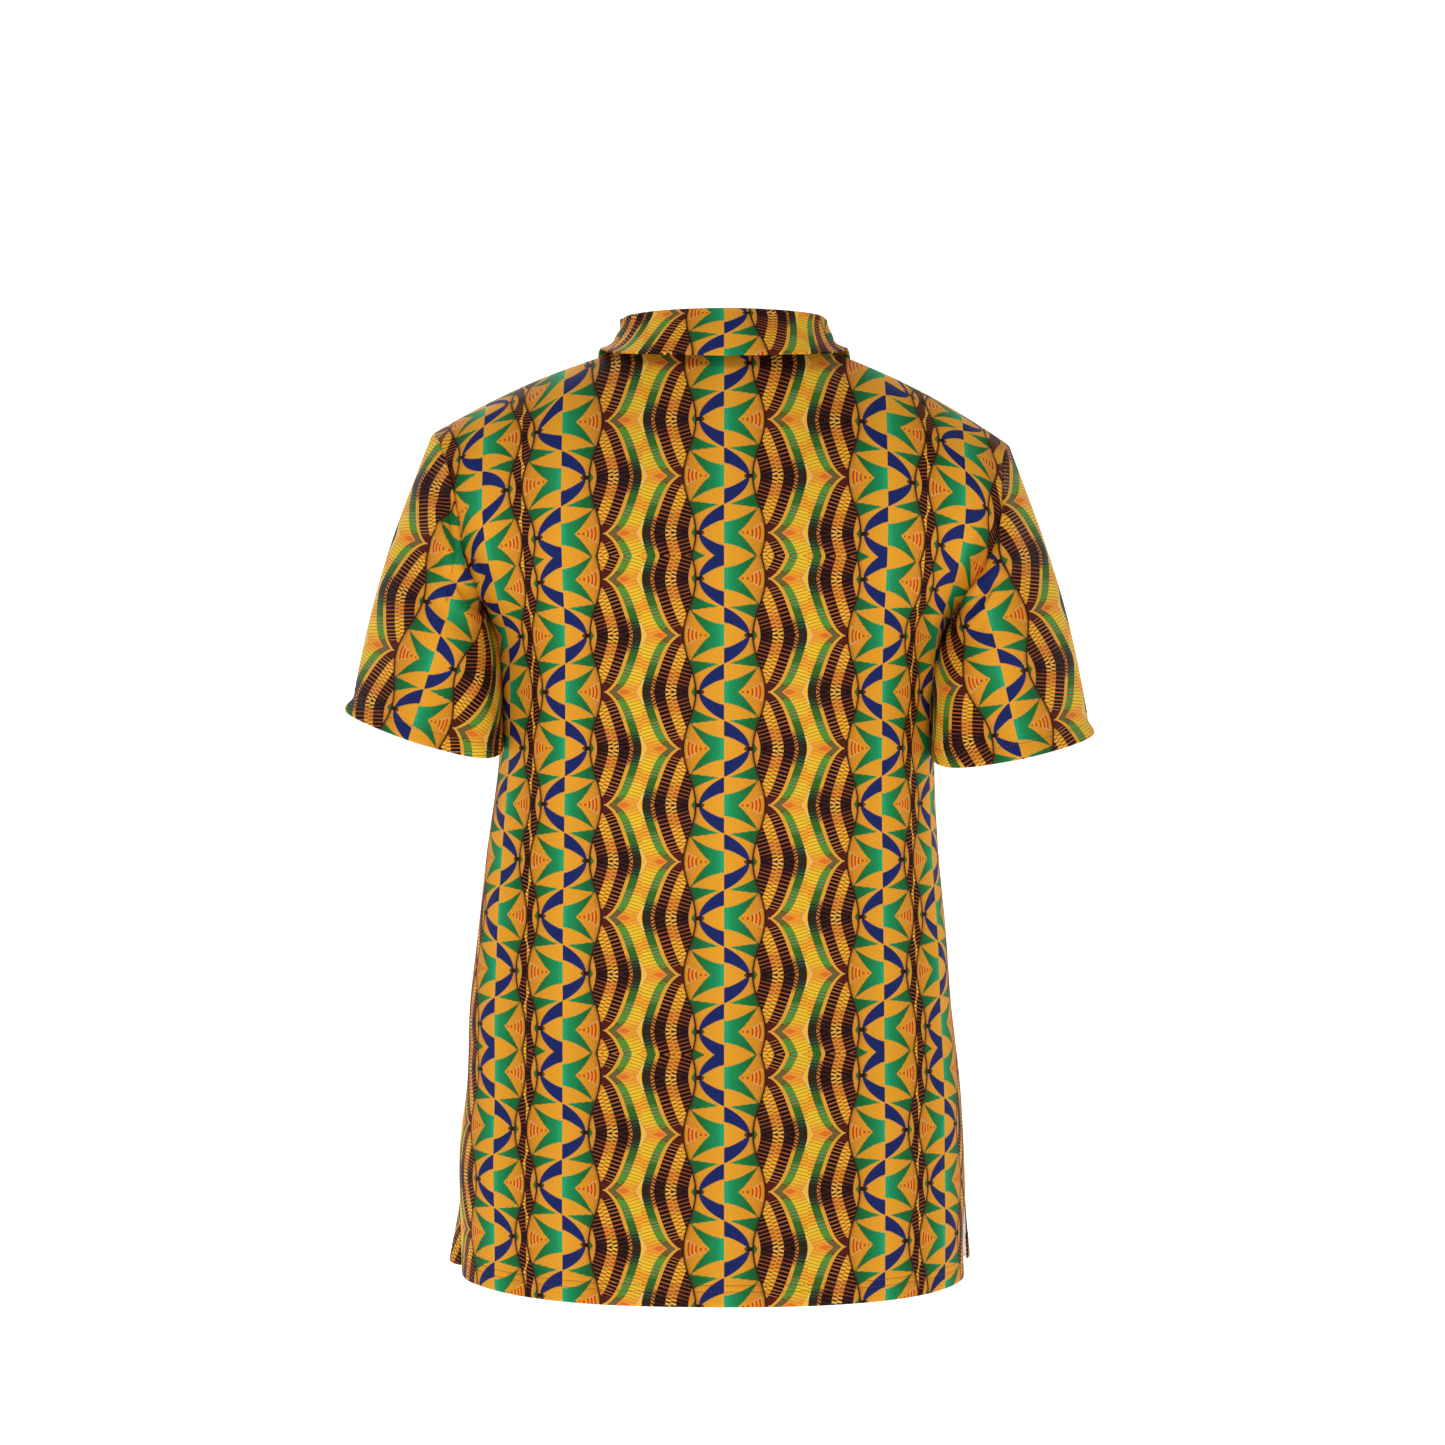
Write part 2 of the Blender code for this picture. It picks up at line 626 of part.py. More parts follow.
def front_strip(half_width, start, depth_out, thickness, name):
    """Strip that follows the front along the centre line, moved out from its surface."""
    columns = np.linspace(-half_width, half_width, PLACKET_COLUMNS)
    rows = []
    levels = [("lower", 1 - start / (UNDERARM_Z - HEM_FRONT_Z))]
    levels += [("upper", rise_level(index)) for index in range(UPPER_ROWS + 1)]
    for kind, share in levels:
        row = []
        for x in columns:
            u = x / WINDOW_HALF_WIDTH * FRONT_FIRST_COLUMN
            build = lower_point if kind == "lower" else upper_point
            row.append(build(-1, u, share, x))
        rows.append(row)
    grid = np.array(rows)
    normals = grid_normals(grid)
    run = grid[-1] - grid[-2]
    grid[-1] -= run / np.linalg.norm(run, axis=-1, keepdims=True) * PLACKET_TOP_GAP
    near = grid + normals * depth_out
    far = near + normals * thickness
    wall(name, far, near, COLOURS["placket"])
    return far


def build_button(index, place, normal):
    """Turned four-hole button, its back on the placket."""
    profile = [
        (0.0, 0.0),
        (BUTTON_RADIUS - BUTTON_ROUND, 0.0),
        (BUTTON_RADIUS, BUTTON_ROUND),
        (BUTTON_RADIUS, BUTTON_THICKNESS - BUTTON_ROUND),
        (BUTTON_RADIUS - BUTTON_ROUND, BUTTON_THICKNESS),
        (BUTTON_RADIUS - BUTTON_RIM, BUTTON_THICKNESS),
        (BUTTON_RADIUS - BUTTON_RIM - BUTTON_DISH, BUTTON_THICKNESS - BUTTON_DISH),
        (0.0, BUTTON_THICKNESS - BUTTON_DISH),
    ]
    mesh = bmesh.new()
    rings = []
    for radius, height in profile:
        if radius == 0.0:
            rings.append([mesh.verts.new((0.0, 0.0, height))])
            continue
        ring = []
        for step in range(BUTTON_STEPS):
            angle = 2 * math.pi * step / BUTTON_STEPS
            ring.append(mesh.verts.new((radius * math.cos(angle), radius * math.sin(angle), height)))
        rings.append(ring)
    for lower, upper in zip(rings, rings[1:]):
        for step in range(BUTTON_STEPS):
            after = (step + 1) % BUTTON_STEPS
            corners = [lower[step % len(lower)], lower[after % len(lower)],
                       upper[after % len(upper)], upper[step % len(upper)]]
            mesh.faces.new(list(dict.fromkeys(corners)))
    if mesh.calc_volume(signed=True) < 0:
        bmesh.ops.reverse_faces(mesh, faces=mesh.faces)
    button = make_object("button_" + str(index), mesh, COLOURS["button"], 0.35)
    turn = Vector((0.0, 0.0, 1.0)).rotation_difference(Vector(normal))
    button.rotation_mode = "QUATERNION"
    button.rotation_quaternion = turn
    button.location = Vector(place) + Vector(normal) * SEAM_GAP
    for hole in range(4):
        angle = math.radians(45 + 90 * hole)
        bpy.ops.mesh.primitive_cylinder_add(vertices=HOLE_STEPS, radius=HOLE_RADIUS,
                                            depth=4 * BUTTON_THICKNESS)
        cutter = bpy.context.object
        cutter.name = "hole_cutter_" + str(index) + "_" + str(hole)
        cutter.parent = button
        cutter.location = (HOLE_SPACING * math.cos(angle), HOLE_SPACING * math.sin(angle), 0.0)
        cutter.hide_render = True
        cutter.display_type = "WIRE"
        for collection in list(cutter.users_collection):
            collection.objects.unlink(cutter)
        bpy.data.collections["cutters"].objects.link(cutter)
        cut = button.modifiers.new("hole_" + str(hole), "BOOLEAN")
        cut.operation = "DIFFERENCE"
        cut.object = cutter
        cut.solver = "EXACT"
    return button


def build_sleeves(back, front, back_normals, front_normals):
    """Both sleeves; also mitres the armhole seams and returns the armhole gaps for the panels."""
    armhole_gaps = {}
    for side_name, edge in (("left", -1), ("right", 0)):
        grid = sleeve_grid(side_name, armhole_loop(back, front, edge))
        normals = grid_normals(grid, closed=True)
        if (normals[SLEEVE_ROWS // 2, UPPER_ROWS][0] > 0) != (side_name == "left"):
            normals = -normals
        up = back_normals[LOWER_ROWS:, edge]
        down = front_normals[LOWER_ROWS + 1:-1, edge][::-1]
        shared = np.concatenate((up, down)) + normals[0]
        shared /= np.linalg.norm(shared, axis=1, keepdims=True)
        normals[0] = shared
        tangent = np.roll(grid[0], -1, axis=0) - np.roll(grid[0], 1, axis=0)
        apart = np.cross(shared, tangent)
        apart *= 0.5 * SEAM_GAP / np.linalg.norm(apart, axis=1, keepdims=True)
        apart *= np.sign(np.sum(apart * (grid[1] - grid[0]), axis=1, keepdims=True))
        armhole_gaps[side_name] = apart
        back_normals[LOWER_ROWS:, edge] = shared[:UPPER_ROWS + 1]
        front_normals[LOWER_ROWS:, edge][1:-1] = shared[UPPER_ROWS + 1:][::-1]
        front_normals[LOWER_ROWS, edge] = shared[0]
        front_normals[-1, edge] = shared[UPPER_ROWS]
        grid[0] += apart
        wall("sleeve_" + side_name, grid, grid - normals * CLOTH, COLOURS["sleeve"], closed=True)
    return armhole_gaps


def seamed_panel(name, grid, armhole_gaps):
    """A panel's points with its side, shoulder and armhole edges moved back for the seam gaps."""
    seam = grid.copy()
    for edge, beside in ((0, 1), (-1, -2)):
        seam[:LOWER_ROWS + 1, edge] = pulled_back(grid[:LOWER_ROWS + 1, edge],
                                                  grid[:LOWER_ROWS + 1, beside])
    outside = HALF_COLUMNS - round(HALF_COLUMNS * NECK_SHARE)
    for columns in (slice(0, outside + 1), slice(-outside - 1, None)):
        seam[-1, columns] += pulled_back(grid[-1, columns], grid[-2, columns]) - grid[-1, columns]
    for edge, side_name in ((0, "right"), (-1, "left")):
        apart = armhole_gaps[side_name]
        own = apart[:UPPER_ROWS + 1]
        if name == "front":
            own = np.concatenate((apart[:1], apart[UPPER_ROWS:][::-1]))
        seam[LOWER_ROWS:, edge] -= own
    return seam


def body_surface(back, front):
    """Search tree of the whole body's outside, for laying the collar on it."""
    points = []
    faces = []
    for grid, order in ((back, -1), (front, 1)):
        first = len(points)
        rows, columns = grid.shape[:2]
        points += [Vector(point) for point in grid.reshape(-1, 3)]
        for row in range(rows - 1):
            for column in range(columns - 1):
                start = first + row * columns + column
                faces.append([start, start + 1, start + 1 + columns, start + columns][::order])
    return BVHTree.FromPolygons(points, faces)


def build_placket_and_buttons():
    face = front_strip(PLACKET_HALF_WIDTH, PLACKET_OVERLAP, SEAM_GAP, PLACKET_CLOTH, "placket_over")
    front_strip(PLACKET_HALF_WIDTH, PLACKET_OVERLAP_INSIDE, -CLOTH - SEAM_GAP - PLACKET_CLOTH,
                PLACKET_CLOTH, "placket_under")
    centre = face[:, PLACKET_COLUMNS // 2]
    for index, height in enumerate(BUTTON_HEIGHTS):
        row = int(np.searchsorted(centre[:, 2], height))
        run = centre[row] - centre[row - 1]
        place = centre[row - 1] + run * (height - centre[row - 1][2]) / run[2]
        normal = np.cross(np.array((1.0, 0.0, 0.0)), run)
        build_button(index + 1, place, normal / np.linalg.norm(normal))


def main():
    clear_scene()
    for name in ("polo_shirt", "cutters"):
        if name not in bpy.data.collections:
            collection = bpy.data.collections.new(name)
            bpy.context.scene.collection.children.link(collection)
    back, front, back_normals, front_normals = build_panels()
    armhole_gaps = build_sleeves(back, front, back_normals, front_normals)
    seamed_back = seamed_panel("back", back, armhole_gaps)
    wall("back", seamed_back, seamed_back - back_normals * CLOTH, COLOURS["back"])
    middle = HALF_COLUMNS + 1
    seamed_front = seamed_panel("front", front, armhole_gaps)
    wall("front", seamed_front, seamed_front - front_normals * CLOTH, COLOURS["front"],
         keep=lambda row, column: row < LOWER_ROWS or column not in (middle - 1, middle))
    build_collar(back, front, back_normals, front_normals, body_surface(back, front))
    build_placket_and_buttons()


main()
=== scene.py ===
# Short-sleeved polo shirt in printed knit, hollow as worn and seen from behind.
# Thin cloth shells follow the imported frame's own form; hems, seams, stitches and buttons go on them.

import math

import bmesh
import bpy
import numpy as np
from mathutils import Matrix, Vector, noise
from mathutils.bvhtree import BVHTree


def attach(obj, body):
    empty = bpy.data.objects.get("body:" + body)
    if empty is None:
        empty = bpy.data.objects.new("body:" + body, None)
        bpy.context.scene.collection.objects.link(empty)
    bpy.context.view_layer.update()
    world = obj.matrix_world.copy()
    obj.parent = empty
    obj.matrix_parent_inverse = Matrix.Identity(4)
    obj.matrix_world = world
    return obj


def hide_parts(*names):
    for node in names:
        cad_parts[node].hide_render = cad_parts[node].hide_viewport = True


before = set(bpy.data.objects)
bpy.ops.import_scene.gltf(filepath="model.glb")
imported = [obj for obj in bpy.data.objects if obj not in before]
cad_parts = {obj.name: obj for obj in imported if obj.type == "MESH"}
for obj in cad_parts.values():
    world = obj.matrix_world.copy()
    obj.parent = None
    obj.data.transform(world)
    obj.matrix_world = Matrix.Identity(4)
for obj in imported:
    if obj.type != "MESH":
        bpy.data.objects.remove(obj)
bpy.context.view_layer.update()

bpy.context.scene.view_settings.view_transform = "Standard"

camera = {
    "target": (0.0012, 0.0, -0.2905),
    "distance": 3.3,
    "pictureWidth": 1.1343,     # metres across the picture at the target
    "sensor": 36.0,
}


def addObject(name, data):
    piece = bpy.data.objects.new(name, data)
    bpy.context.scene.collection.objects.link(piece)
    return piece


def makeCamera():
    eye = addObject("camera", bpy.data.cameras.new("camera"))
    target = Vector(camera["target"])
    eye.location = target + Vector((0.0, camera["distance"], 0.0))
    eye.rotation_euler = Vector((0.0, -1.0, 0.0)).to_track_quat("-Z", "Y").to_euler()
    eye.data.sensor_width = camera["sensor"]
    eye.data.lens = camera["sensor"] * camera["distance"] / camera["pictureWidth"]
    bpy.context.scene.camera = eye


# the shirt's form, the same sizes as the solids it covers

body = {
    "underarmZ": -0.222, "ventTopZ": -0.662,
    "hemZ": {1: -0.7265, -1: -0.7160},            # 1 is the back and -1 the front, here and below
    "depthColumn": {1: 3, -1: 4},                 # where the tables hold each one's depth
    "hemSideLift": 0.0055, "hemLiftSpread": 3, "hemLiftReach": 6,
    "neckHalfWidth": 0.086, "neckPointZ": 0.0005, "neckBack": (0.060, 0.000),
    "neckFront": (-0.072, -0.056), "neckDip": 1.5,
    "shoulderLeft": (0.229, -0.0636), "shoulderRight": (0.2235, -0.0720),
    "shoulderBulge": 0.005, "neckShare": 0.42,
    "flatness": 0.85, "neckRoundness": 0.92, "shoulderRoundness": 0.48,
    "roundingStart": 2.4, "roundingDelay": 0.4, "neckCore": 0.126, "shoulderCore": 0.9,
    "neckBendPower": 5, "fullestEdge": 0.97,
    "endCrowding": 0.6, "windowStraightening": 1 / 6,
    # height, half width left and right, depth of the back and of the front
    "torso": [
        (-0.222, 0.1800, 0.1725, 0.116, -0.130),
        (-0.236, 0.1772, 0.1690, 0.116, -0.130),
        (-0.256, 0.1760, 0.1665, 0.116, -0.130),
        (-0.316, 0.1762, 0.1648, 0.115, -0.131),
        (-0.391, 0.1857, 0.1680, 0.111, -0.127),
        (-0.454, 0.1927, 0.1739, 0.109, -0.123),
        (-0.509, 0.1990, 0.1778, 0.110, -0.123),
        (-0.572, 0.2013, 0.1849, 0.116, -0.127),
        (-0.624, 0.2072, 0.1880, 0.121, -0.131),
        (-0.665, 0.2072, 0.1893, 0.124, -0.134),
        (-0.727, 0.2060, 0.1890, 0.127, -0.137),
    ],
    # share of the way up, half width left and right, depth on the back and on the front
    "armhole": [
        (0.00, 0.1800, 0.1725, 0.000, 0.000),
        (0.12, 0.1872, 0.1810, 0.027, -0.029),
        (0.37, 0.2006, 0.2030, 0.053, -0.057),
        (0.55, 0.2045, 0.2120, 0.061, -0.065),
        (0.75, 0.2105, 0.2155, 0.055, -0.059),
        (0.90, 0.2185, 0.2172, 0.036, -0.039),
        (0.97, 0.2245, 0.2205, 0.020, -0.022),
        (1.00, 0.2290, 0.2235, 0.000, 0.000),
    ],
    # drag folds at the underarms: start x and z, end x and z, width and depth
    "folds": [
        (0.236, -0.118, 0.180, -0.205, 0.016, -0.0035),
        (0.210, -0.100, 0.160, -0.185, 0.015, 0.0030),
        (0.266, -0.200, 0.200, -0.240, 0.017, 0.0030),
        (-0.226, -0.130, -0.176, -0.210, 0.016, -0.0035),
        (-0.202, -0.108, -0.155, -0.192, 0.015, 0.0030),
        (-0.260, -0.206, -0.194, -0.246, 0.017, 0.0030),
    ],
    "foldFade": 0.035,
    # the back's hem hangs lower in the middle
    "hemSag": 0.0050, "hemSagWidth": 0.19, "hemSagReach": 0.09,
}

# how the front's free edge stands out at each side vent: flare, curl back in and turn to the back
vent = {
    "left": (0.0165, 0.0163, 0.0060), "right": (0.0072, 0.0047, 0.0006),
    "spread": 8, "turnSpread": 14, "curlStart": 0.95, "drop": (0.0055, 0.0),     # drop of its lower corner
    # how far the back's own edge turns in: at the hem and half way up, left and right
    "backIn": ((0.0016, 0.0), (0.0010, 0.0052)), "backSpread": 16,
}


def ease(share):
    # a smooth step from 0 to 1
    share = np.clip(share, 0.0, 1.0)
    return share * share * (3 - 2 * share)


def curveThrough(table, column, place):
    # a smooth curve through one column of a table, read at a place of its first column
    keys = np.array([row[0] for row in table], float)
    values = np.array([row[column] for row in table], float)
    if keys[0] > keys[-1]:
        keys = keys[::-1]
        values = values[::-1]
    place = np.clip(place, keys[0], keys[-1])
    index = np.clip(np.searchsorted(keys, place) - 1, 0, len(keys) - 2)
    span = keys[index + 1] - keys[index]
    share = (place - keys[index]) / span
    slopes = np.gradient(values, keys)
    square = share ** 2
    cube = square * share
    return (values[index] + (values[index + 1] - values[index]) * (3 * square - 2 * cube)
            + slopes[index] * span * (cube - 2 * square + share)
            + slopes[index + 1] * span * (cube - square))


def besideCrease(x, z, startX, startZ, endX, endZ):
    # the nearest place along a crease's line, as a share of it, and the distance from there
    run = np.array((endX - startX, endZ - startZ))
    along = ((x - startX) * run[0] + (z - startZ) * run[1]) / (run @ run)
    nearest = np.clip(along, 0, 1)
    return nearest, np.hypot(x - startX - nearest * run[0], z - startZ - nearest * run[1])


def foldShift(points):
    x, y, z = np.moveaxis(points, -1, 0)
    shift = np.zeros_like(x)
    for *line, width, depth in body["folds"]:
        _, gap = besideCrease(x, z, *line)
        shift += depth * np.exp(-(gap / width) ** 2)
    return np.copysign(shift * ease(np.abs(y) / body["foldFade"]), y)


def shoulderHeight(x):
    end = np.where((x >= 0)[..., None], body["shoulderLeft"], body["shoulderRight"])
    share = (np.abs(x) - body["neckHalfWidth"]) / (end[..., 0] - body["neckHalfWidth"])
    return (body["neckPointZ"] + (end[..., 1] - body["neckPointZ"]) * share
            + body["shoulderBulge"] * np.sin(np.pi * share))


def neckPoint(angle):
    # the neck seam, by the angle from the centre back
    toward = np.cos(angle)
    end = np.where((toward >= 0)[..., None], body["neckBack"], body["neckFront"])
    reach = np.abs(toward)
    height = body["neckPointZ"] + (end[..., 1] - body["neckPointZ"]) * reach ** body["neckDip"]
    return np.stack((body["neckHalfWidth"] * np.sin(angle), end[..., 0] * reach, height), -1)


def topPoints(side, u):
    # the panel's top edge, along the neck and the shoulder; u runs from -1 at the right to 1 at the left
    share = np.abs(u) / body["neckShare"]
    sign = np.where(u >= 0, 1.0, -1.0)
    angle = 0.5 * np.pi * np.minimum(share, 1.0)
    neck = neckPoint(angle if side > 0 else np.pi - angle)
    neck[..., 0] = sign * np.abs(neck[..., 0])
    endX = np.where(u >= 0, body["shoulderLeft"][0], body["shoulderRight"][0])
    out = (np.abs(u) - body["neckShare"]) / (1 - body["neckShare"])
    x = sign * (body["neckHalfWidth"] + (endX - body["neckHalfWidth"]) * out)
    shoulder = np.stack((x, 0 * x, shoulderHeight(x)), -1)
    return np.where((share <= 1.0)[..., None], neck, shoulder)


def lowerPoints(side, u, level, straightX):
    # the panel from the hem, level 0, up to the underarm, level 1, with its vents and the hem's sag
    hem = body["hemZ"][side]
    lift = np.abs(u) ** body["hemLiftSpread"] * (1 - level) ** body["hemLiftReach"]
    z = hem + (body["underarmZ"] - hem) * level + body["hemSideLift"] * lift
    half = np.where(u >= 0, curveThrough(body["torso"], 1, z), curveThrough(body["torso"], 2, z))
    depth = curveThrough(body["torso"], body["depthColumn"][side], z)
    x = half * np.sin(0.5 * np.pi * u)
    pull = ease(1 - (1 - level) / body["windowStraightening"])
    x = np.where(np.isnan(straightX), x, x + (np.nan_to_num(straightX) - x) * pull)
    y = depth * np.maximum(1 - (x / half) ** 2, 0.0) ** (0.5 * body["flatness"])
    below = np.clip((body["ventTopZ"] - z) / (body["ventTopZ"] - hem), 0, None)
    if side > 0:
        low, high = np.moveaxis(np.where((u >= 0)[..., None], *vent["backIn"]), -1, 0)
        turned = below * low + 4 * below * np.maximum(1 - below, 0) * high
        x = x - np.sign(u) * turned * np.abs(u) ** vent["backSpread"]
        sag = np.maximum(1 - np.abs(x / body["hemSagWidth"]) ** 4, 0)
        z = z - body["hemSag"] * sag * ease(1 - (z - hem) / body["hemSagReach"])
    else:
        ends = np.where((u >= 0)[..., None], vent["left"], vent["right"])
        flare, curl, turn = np.moveaxis(ends, -1, 0)
        ending = np.clip((np.abs(u) - vent["curlStart"]) / (1 - vent["curlStart"]), 0, 1) ** 2
        x = x + below * np.sign(u) * (flare * np.abs(u) ** vent["spread"] - curl * ending)
        y = y + below * turn * np.abs(u) ** vent["turnSpread"]
        z = z - below * np.where(u >= 0, *vent["drop"]) * np.abs(u) ** vent["turnSpread"]
    return np.stack(np.broadcast_arrays(x, y, z), -1)


def formDepth(share, topDepth, lowDepth, rise):
    over = ease((share - body["neckCore"]) / (body["shoulderCore"] - body["neckCore"]))
    roundness = body["neckRoundness"] + (body["shoulderRoundness"] - body["neckRoundness"]) * over
    rounding = 1 - rise ** (body["roundingStart"] + body["roundingDelay"] * over)
    return topDepth + (lowDepth - topDepth) * rounding ** roundness


def upperPoints(side, u, rise, straightX):
    # the panel from the underarm, rise 0, up to the neck and the shoulders, rise 1
    top = topPoints(side, u)
    column = body["depthColumn"][side]
    low = abs(float(curveThrough(body["torso"], column, body["underarmZ"])))
    edgeX = np.where(u >= 0, curveThrough(body["armhole"], 1, rise),
                     curveThrough(body["armhole"], 2, rise))
    edgeY = np.abs(curveThrough(body["armhole"], column, rise)) + 0 * u
    endX = np.where(u >= 0, body["shoulderLeft"][0], body["shoulderRight"][0])
    inner = np.minimum(rise, 0.9999)
    edgeShare = np.minimum(edgeY / formDepth(1.0, 0.0, low, inner), body["fullestEdge"])
    turn = np.arccos(edgeShare ** (1 / body["flatness"]))
    ring = edgeX / np.sin(turn)
    plain = ring * np.sin(turn * u)
    x = plain + (top[..., 0] * edgeX / endX - plain) * rise ** 2
    x = np.where(np.isnan(straightX), x, np.nan_to_num(straightX) + 0 * rise)
    z = body["underarmZ"] + (top[..., 2] - body["underarmZ"]) * rise
    reach = np.arcsin(np.minimum(np.abs(x) / ring, 1.0))
    bend = (1 - np.cos(reach) ** body["flatness"]) / (1 - edgeShare)
    core = body["shoulderCore"] - body["neckShare"]
    besideNeck = 1 - ease((np.abs(u) - body["neckShare"]) / core)
    bend = bend * (1 - rise ** body["neckBendPower"] * besideNeck)
    form = formDepth(np.abs(u), np.abs(top[..., 1]), low, inner)
    y = side * form * (1 - (1 - edgeShare) * bend)
    edge = np.abs(u) >= 1.0
    x = np.where(edge, np.copysign(edgeX, u), x)
    y = np.where(edge, side * edgeY, y)
    points = np.stack(np.broadcast_arrays(x, y, z), -1)
    return np.where((rise >= 1.0)[..., None], top + 0 * points, points)


def gridNormals(grid, closed=False):
    if closed:
        across = np.roll(grid, -1, axis=1) - np.roll(grid, 1, axis=1)
    else:
        across = np.gradient(grid, axis=1)
    normals = np.cross(across, np.gradient(grid, axis=0))
    return normals / np.linalg.norm(normals, axis=2, keepdims=True)


def unit(vectors):
    return vectors / np.linalg.norm(vectors, axis=-1, keepdims=True)


def alongArc(points, axis):
    # distance run along a row or a column of a grid, from its first point
    steps = np.linalg.norm(np.diff(points, axis=axis), axis=-1)
    start = np.zeros_like(np.take(steps, [0], axis=axis))
    return np.concatenate((start, np.cumsum(steps, axis=axis)), axis=axis)


# rows and columns of the fine panels

panel = {
    "neckColumns": 28, "outerColumns": 62, "edgeCrowding": 0.7,
    "lowerRows": 90, "upperRows": 110,
    # distances above the hem where the turned edge needs its own rows
    "hemLevels": (0.0, 0.0006, 0.0015, 0.003, 0.005, 0.0075, 0.0095, 0.0103, 0.011, 0.0117,
                  0.0127, 0.0143, 0.0153, 0.016, 0.0167, 0.0177, 0.019, 0.022),
    "windowHalfWidth": 0.013, "windowColumns": 3,
}


def panelColumns(first=None):
    inside = [] if first is None else list(np.linspace(0, first, panel["windowColumns"] + 1)[1:])
    neck = list(np.linspace(first or 0.0, body["neckShare"], panel["neckColumns"] + 1)[1:])
    share = np.linspace(0, 1, panel["outerColumns"] + 1)[1:]
    share = share + panel["edgeCrowding"] * np.sin(np.pi * share) / np.pi
    outer = list(body["neckShare"] + (1 - body["neckShare"]) * share)
    half = inside + neck + outer
    half[-1] = 1.0
    return np.array([-place for place in reversed(half)] + [0.0] + half)


def riseLevel(share):
    return share - body["endCrowding"] * np.sin(2 * np.pi * share) / (2 * np.pi)


def panelGrid(side, columns, straightColumn=None):
    hem = body["hemZ"][side]
    length = body["underarmZ"] - hem
    heights = list(panel["hemLevels"])
    heights += list(np.linspace(heights[-1], length, panel["lowerRows"] + 1)[1:])
    level = np.array(heights)[:, None] / length
    level[-1] = 1.0
    rise = riseLevel(np.linspace(0, 1, panel["upperRows"] + 1)[1:])[:, None]
    rise[-1] = 1.0
    u = columns[None, :]
    straightX = np.full_like(u, np.nan)
    if straightColumn is not None:
        window = np.abs(u) <= straightColumn + 1e-9
        straightX[window] = panel["windowHalfWidth"] * u[window] / straightColumn
    lower = lowerPoints(side, u, level, straightX)
    upper = upperPoints(side, u, rise, straightX)
    grid = np.concatenate((lower, upper))
    grid[..., 1] += foldShift(grid)
    return grid, len(heights) - 1


cloth = {
    "thickness": 0.0009, "hemThickness": 0.0016, "seamGap": 0.0003,
    "hemDepth": 0.018, "hemRows": (0.011, 0.016),     # turned hem and its two rows of stitches
    "hemPuff": 0.00035, "stitchDip": 0.00035, "stitchDipWidth": 0.0010,
    "seamDip": 0.0008, "seamDipWidth": 0.0013, "seamShare": 0.4, "seamTaper": 0.005,
    "ripple": 0.0011,                                 # soft unevenness all over
    # share, scale and offset of the two noises in it
    "ripples": ((1.0, (9, 9, 6), (0.0, 4.0, 0.0)), (0.5, (21, 21, 13), (0.0, 0.0, 7.0))),
    "halfWall": 0.00075, "hemEase": 0.002,
}

# finer creases on the cloth, by side (1 back, -1 front): start x, z, end x, z, width, depth
creases = [
    (1, 0.2140, -0.1160, 0.2050, -0.1560, 0.0034, -0.0034),
    (1, 0.2215, -0.1240, 0.2085, -0.1740, 0.0036, 0.0030),
    (1, 0.2090, -0.1790, 0.1880, -0.2040, 0.0030, -0.0050),
    (1, 0.2040, -0.1700, 0.1880, -0.1940, 0.0034, 0.0026),
    (1, 0.2150, -0.1900, 0.1950, -0.2130, 0.0042, 0.0030),
    (1, 0.1985, -0.1560, 0.1860, -0.1800, 0.0030, -0.0026),
    (1, 0.2240, -0.1960, 0.2020, -0.2200, 0.0044, -0.0024),
    (1, 0.1860, -0.1560, 0.1580, -0.2120, 0.0070, 0.0016),
    (1, 0.2280, -0.1540, 0.2130, -0.1830, 0.0042, -0.0016),
    (1, -0.2120, -0.1790, -0.1900, -0.2020, 0.0032, -0.0046),
    (1, -0.2070, -0.1740, -0.1860, -0.1960, 0.0036, 0.0024),
    (1, -0.2040, -0.1900, -0.1910, -0.2080, 0.0030, -0.0038),
    (1, -0.2060, -0.1500, -0.1900, -0.1820, 0.0044, -0.0026),
    (1, -0.1960, -0.1400, -0.1700, -0.1920, 0.0050, 0.0022),
    (1, -0.220, -0.166, -0.188, -0.214, 0.0060, 0.0024),
    (1, -0.190, -0.170, -0.166, -0.226, 0.0060, -0.0026),
    (1, -0.170, -0.178, -0.158, -0.262, 0.0080, 0.0020),
    (-1, 0.206, -0.146, 0.178, -0.206, 0.0052, -0.0030),
    (-1, 0.194, -0.140, 0.164, -0.198, 0.0055, 0.0022),
    (-1, 0.182, -0.170, 0.150, -0.236, 0.0070, -0.0024),
    (-1, -0.200, -0.148, -0.174, -0.206, 0.0052, -0.0030),
    (-1, -0.188, -0.144, -0.160, -0.200, 0.0055, 0.0020),
    (-1, -0.176, -0.176, -0.146, -0.240, 0.0070, -0.0022),
]


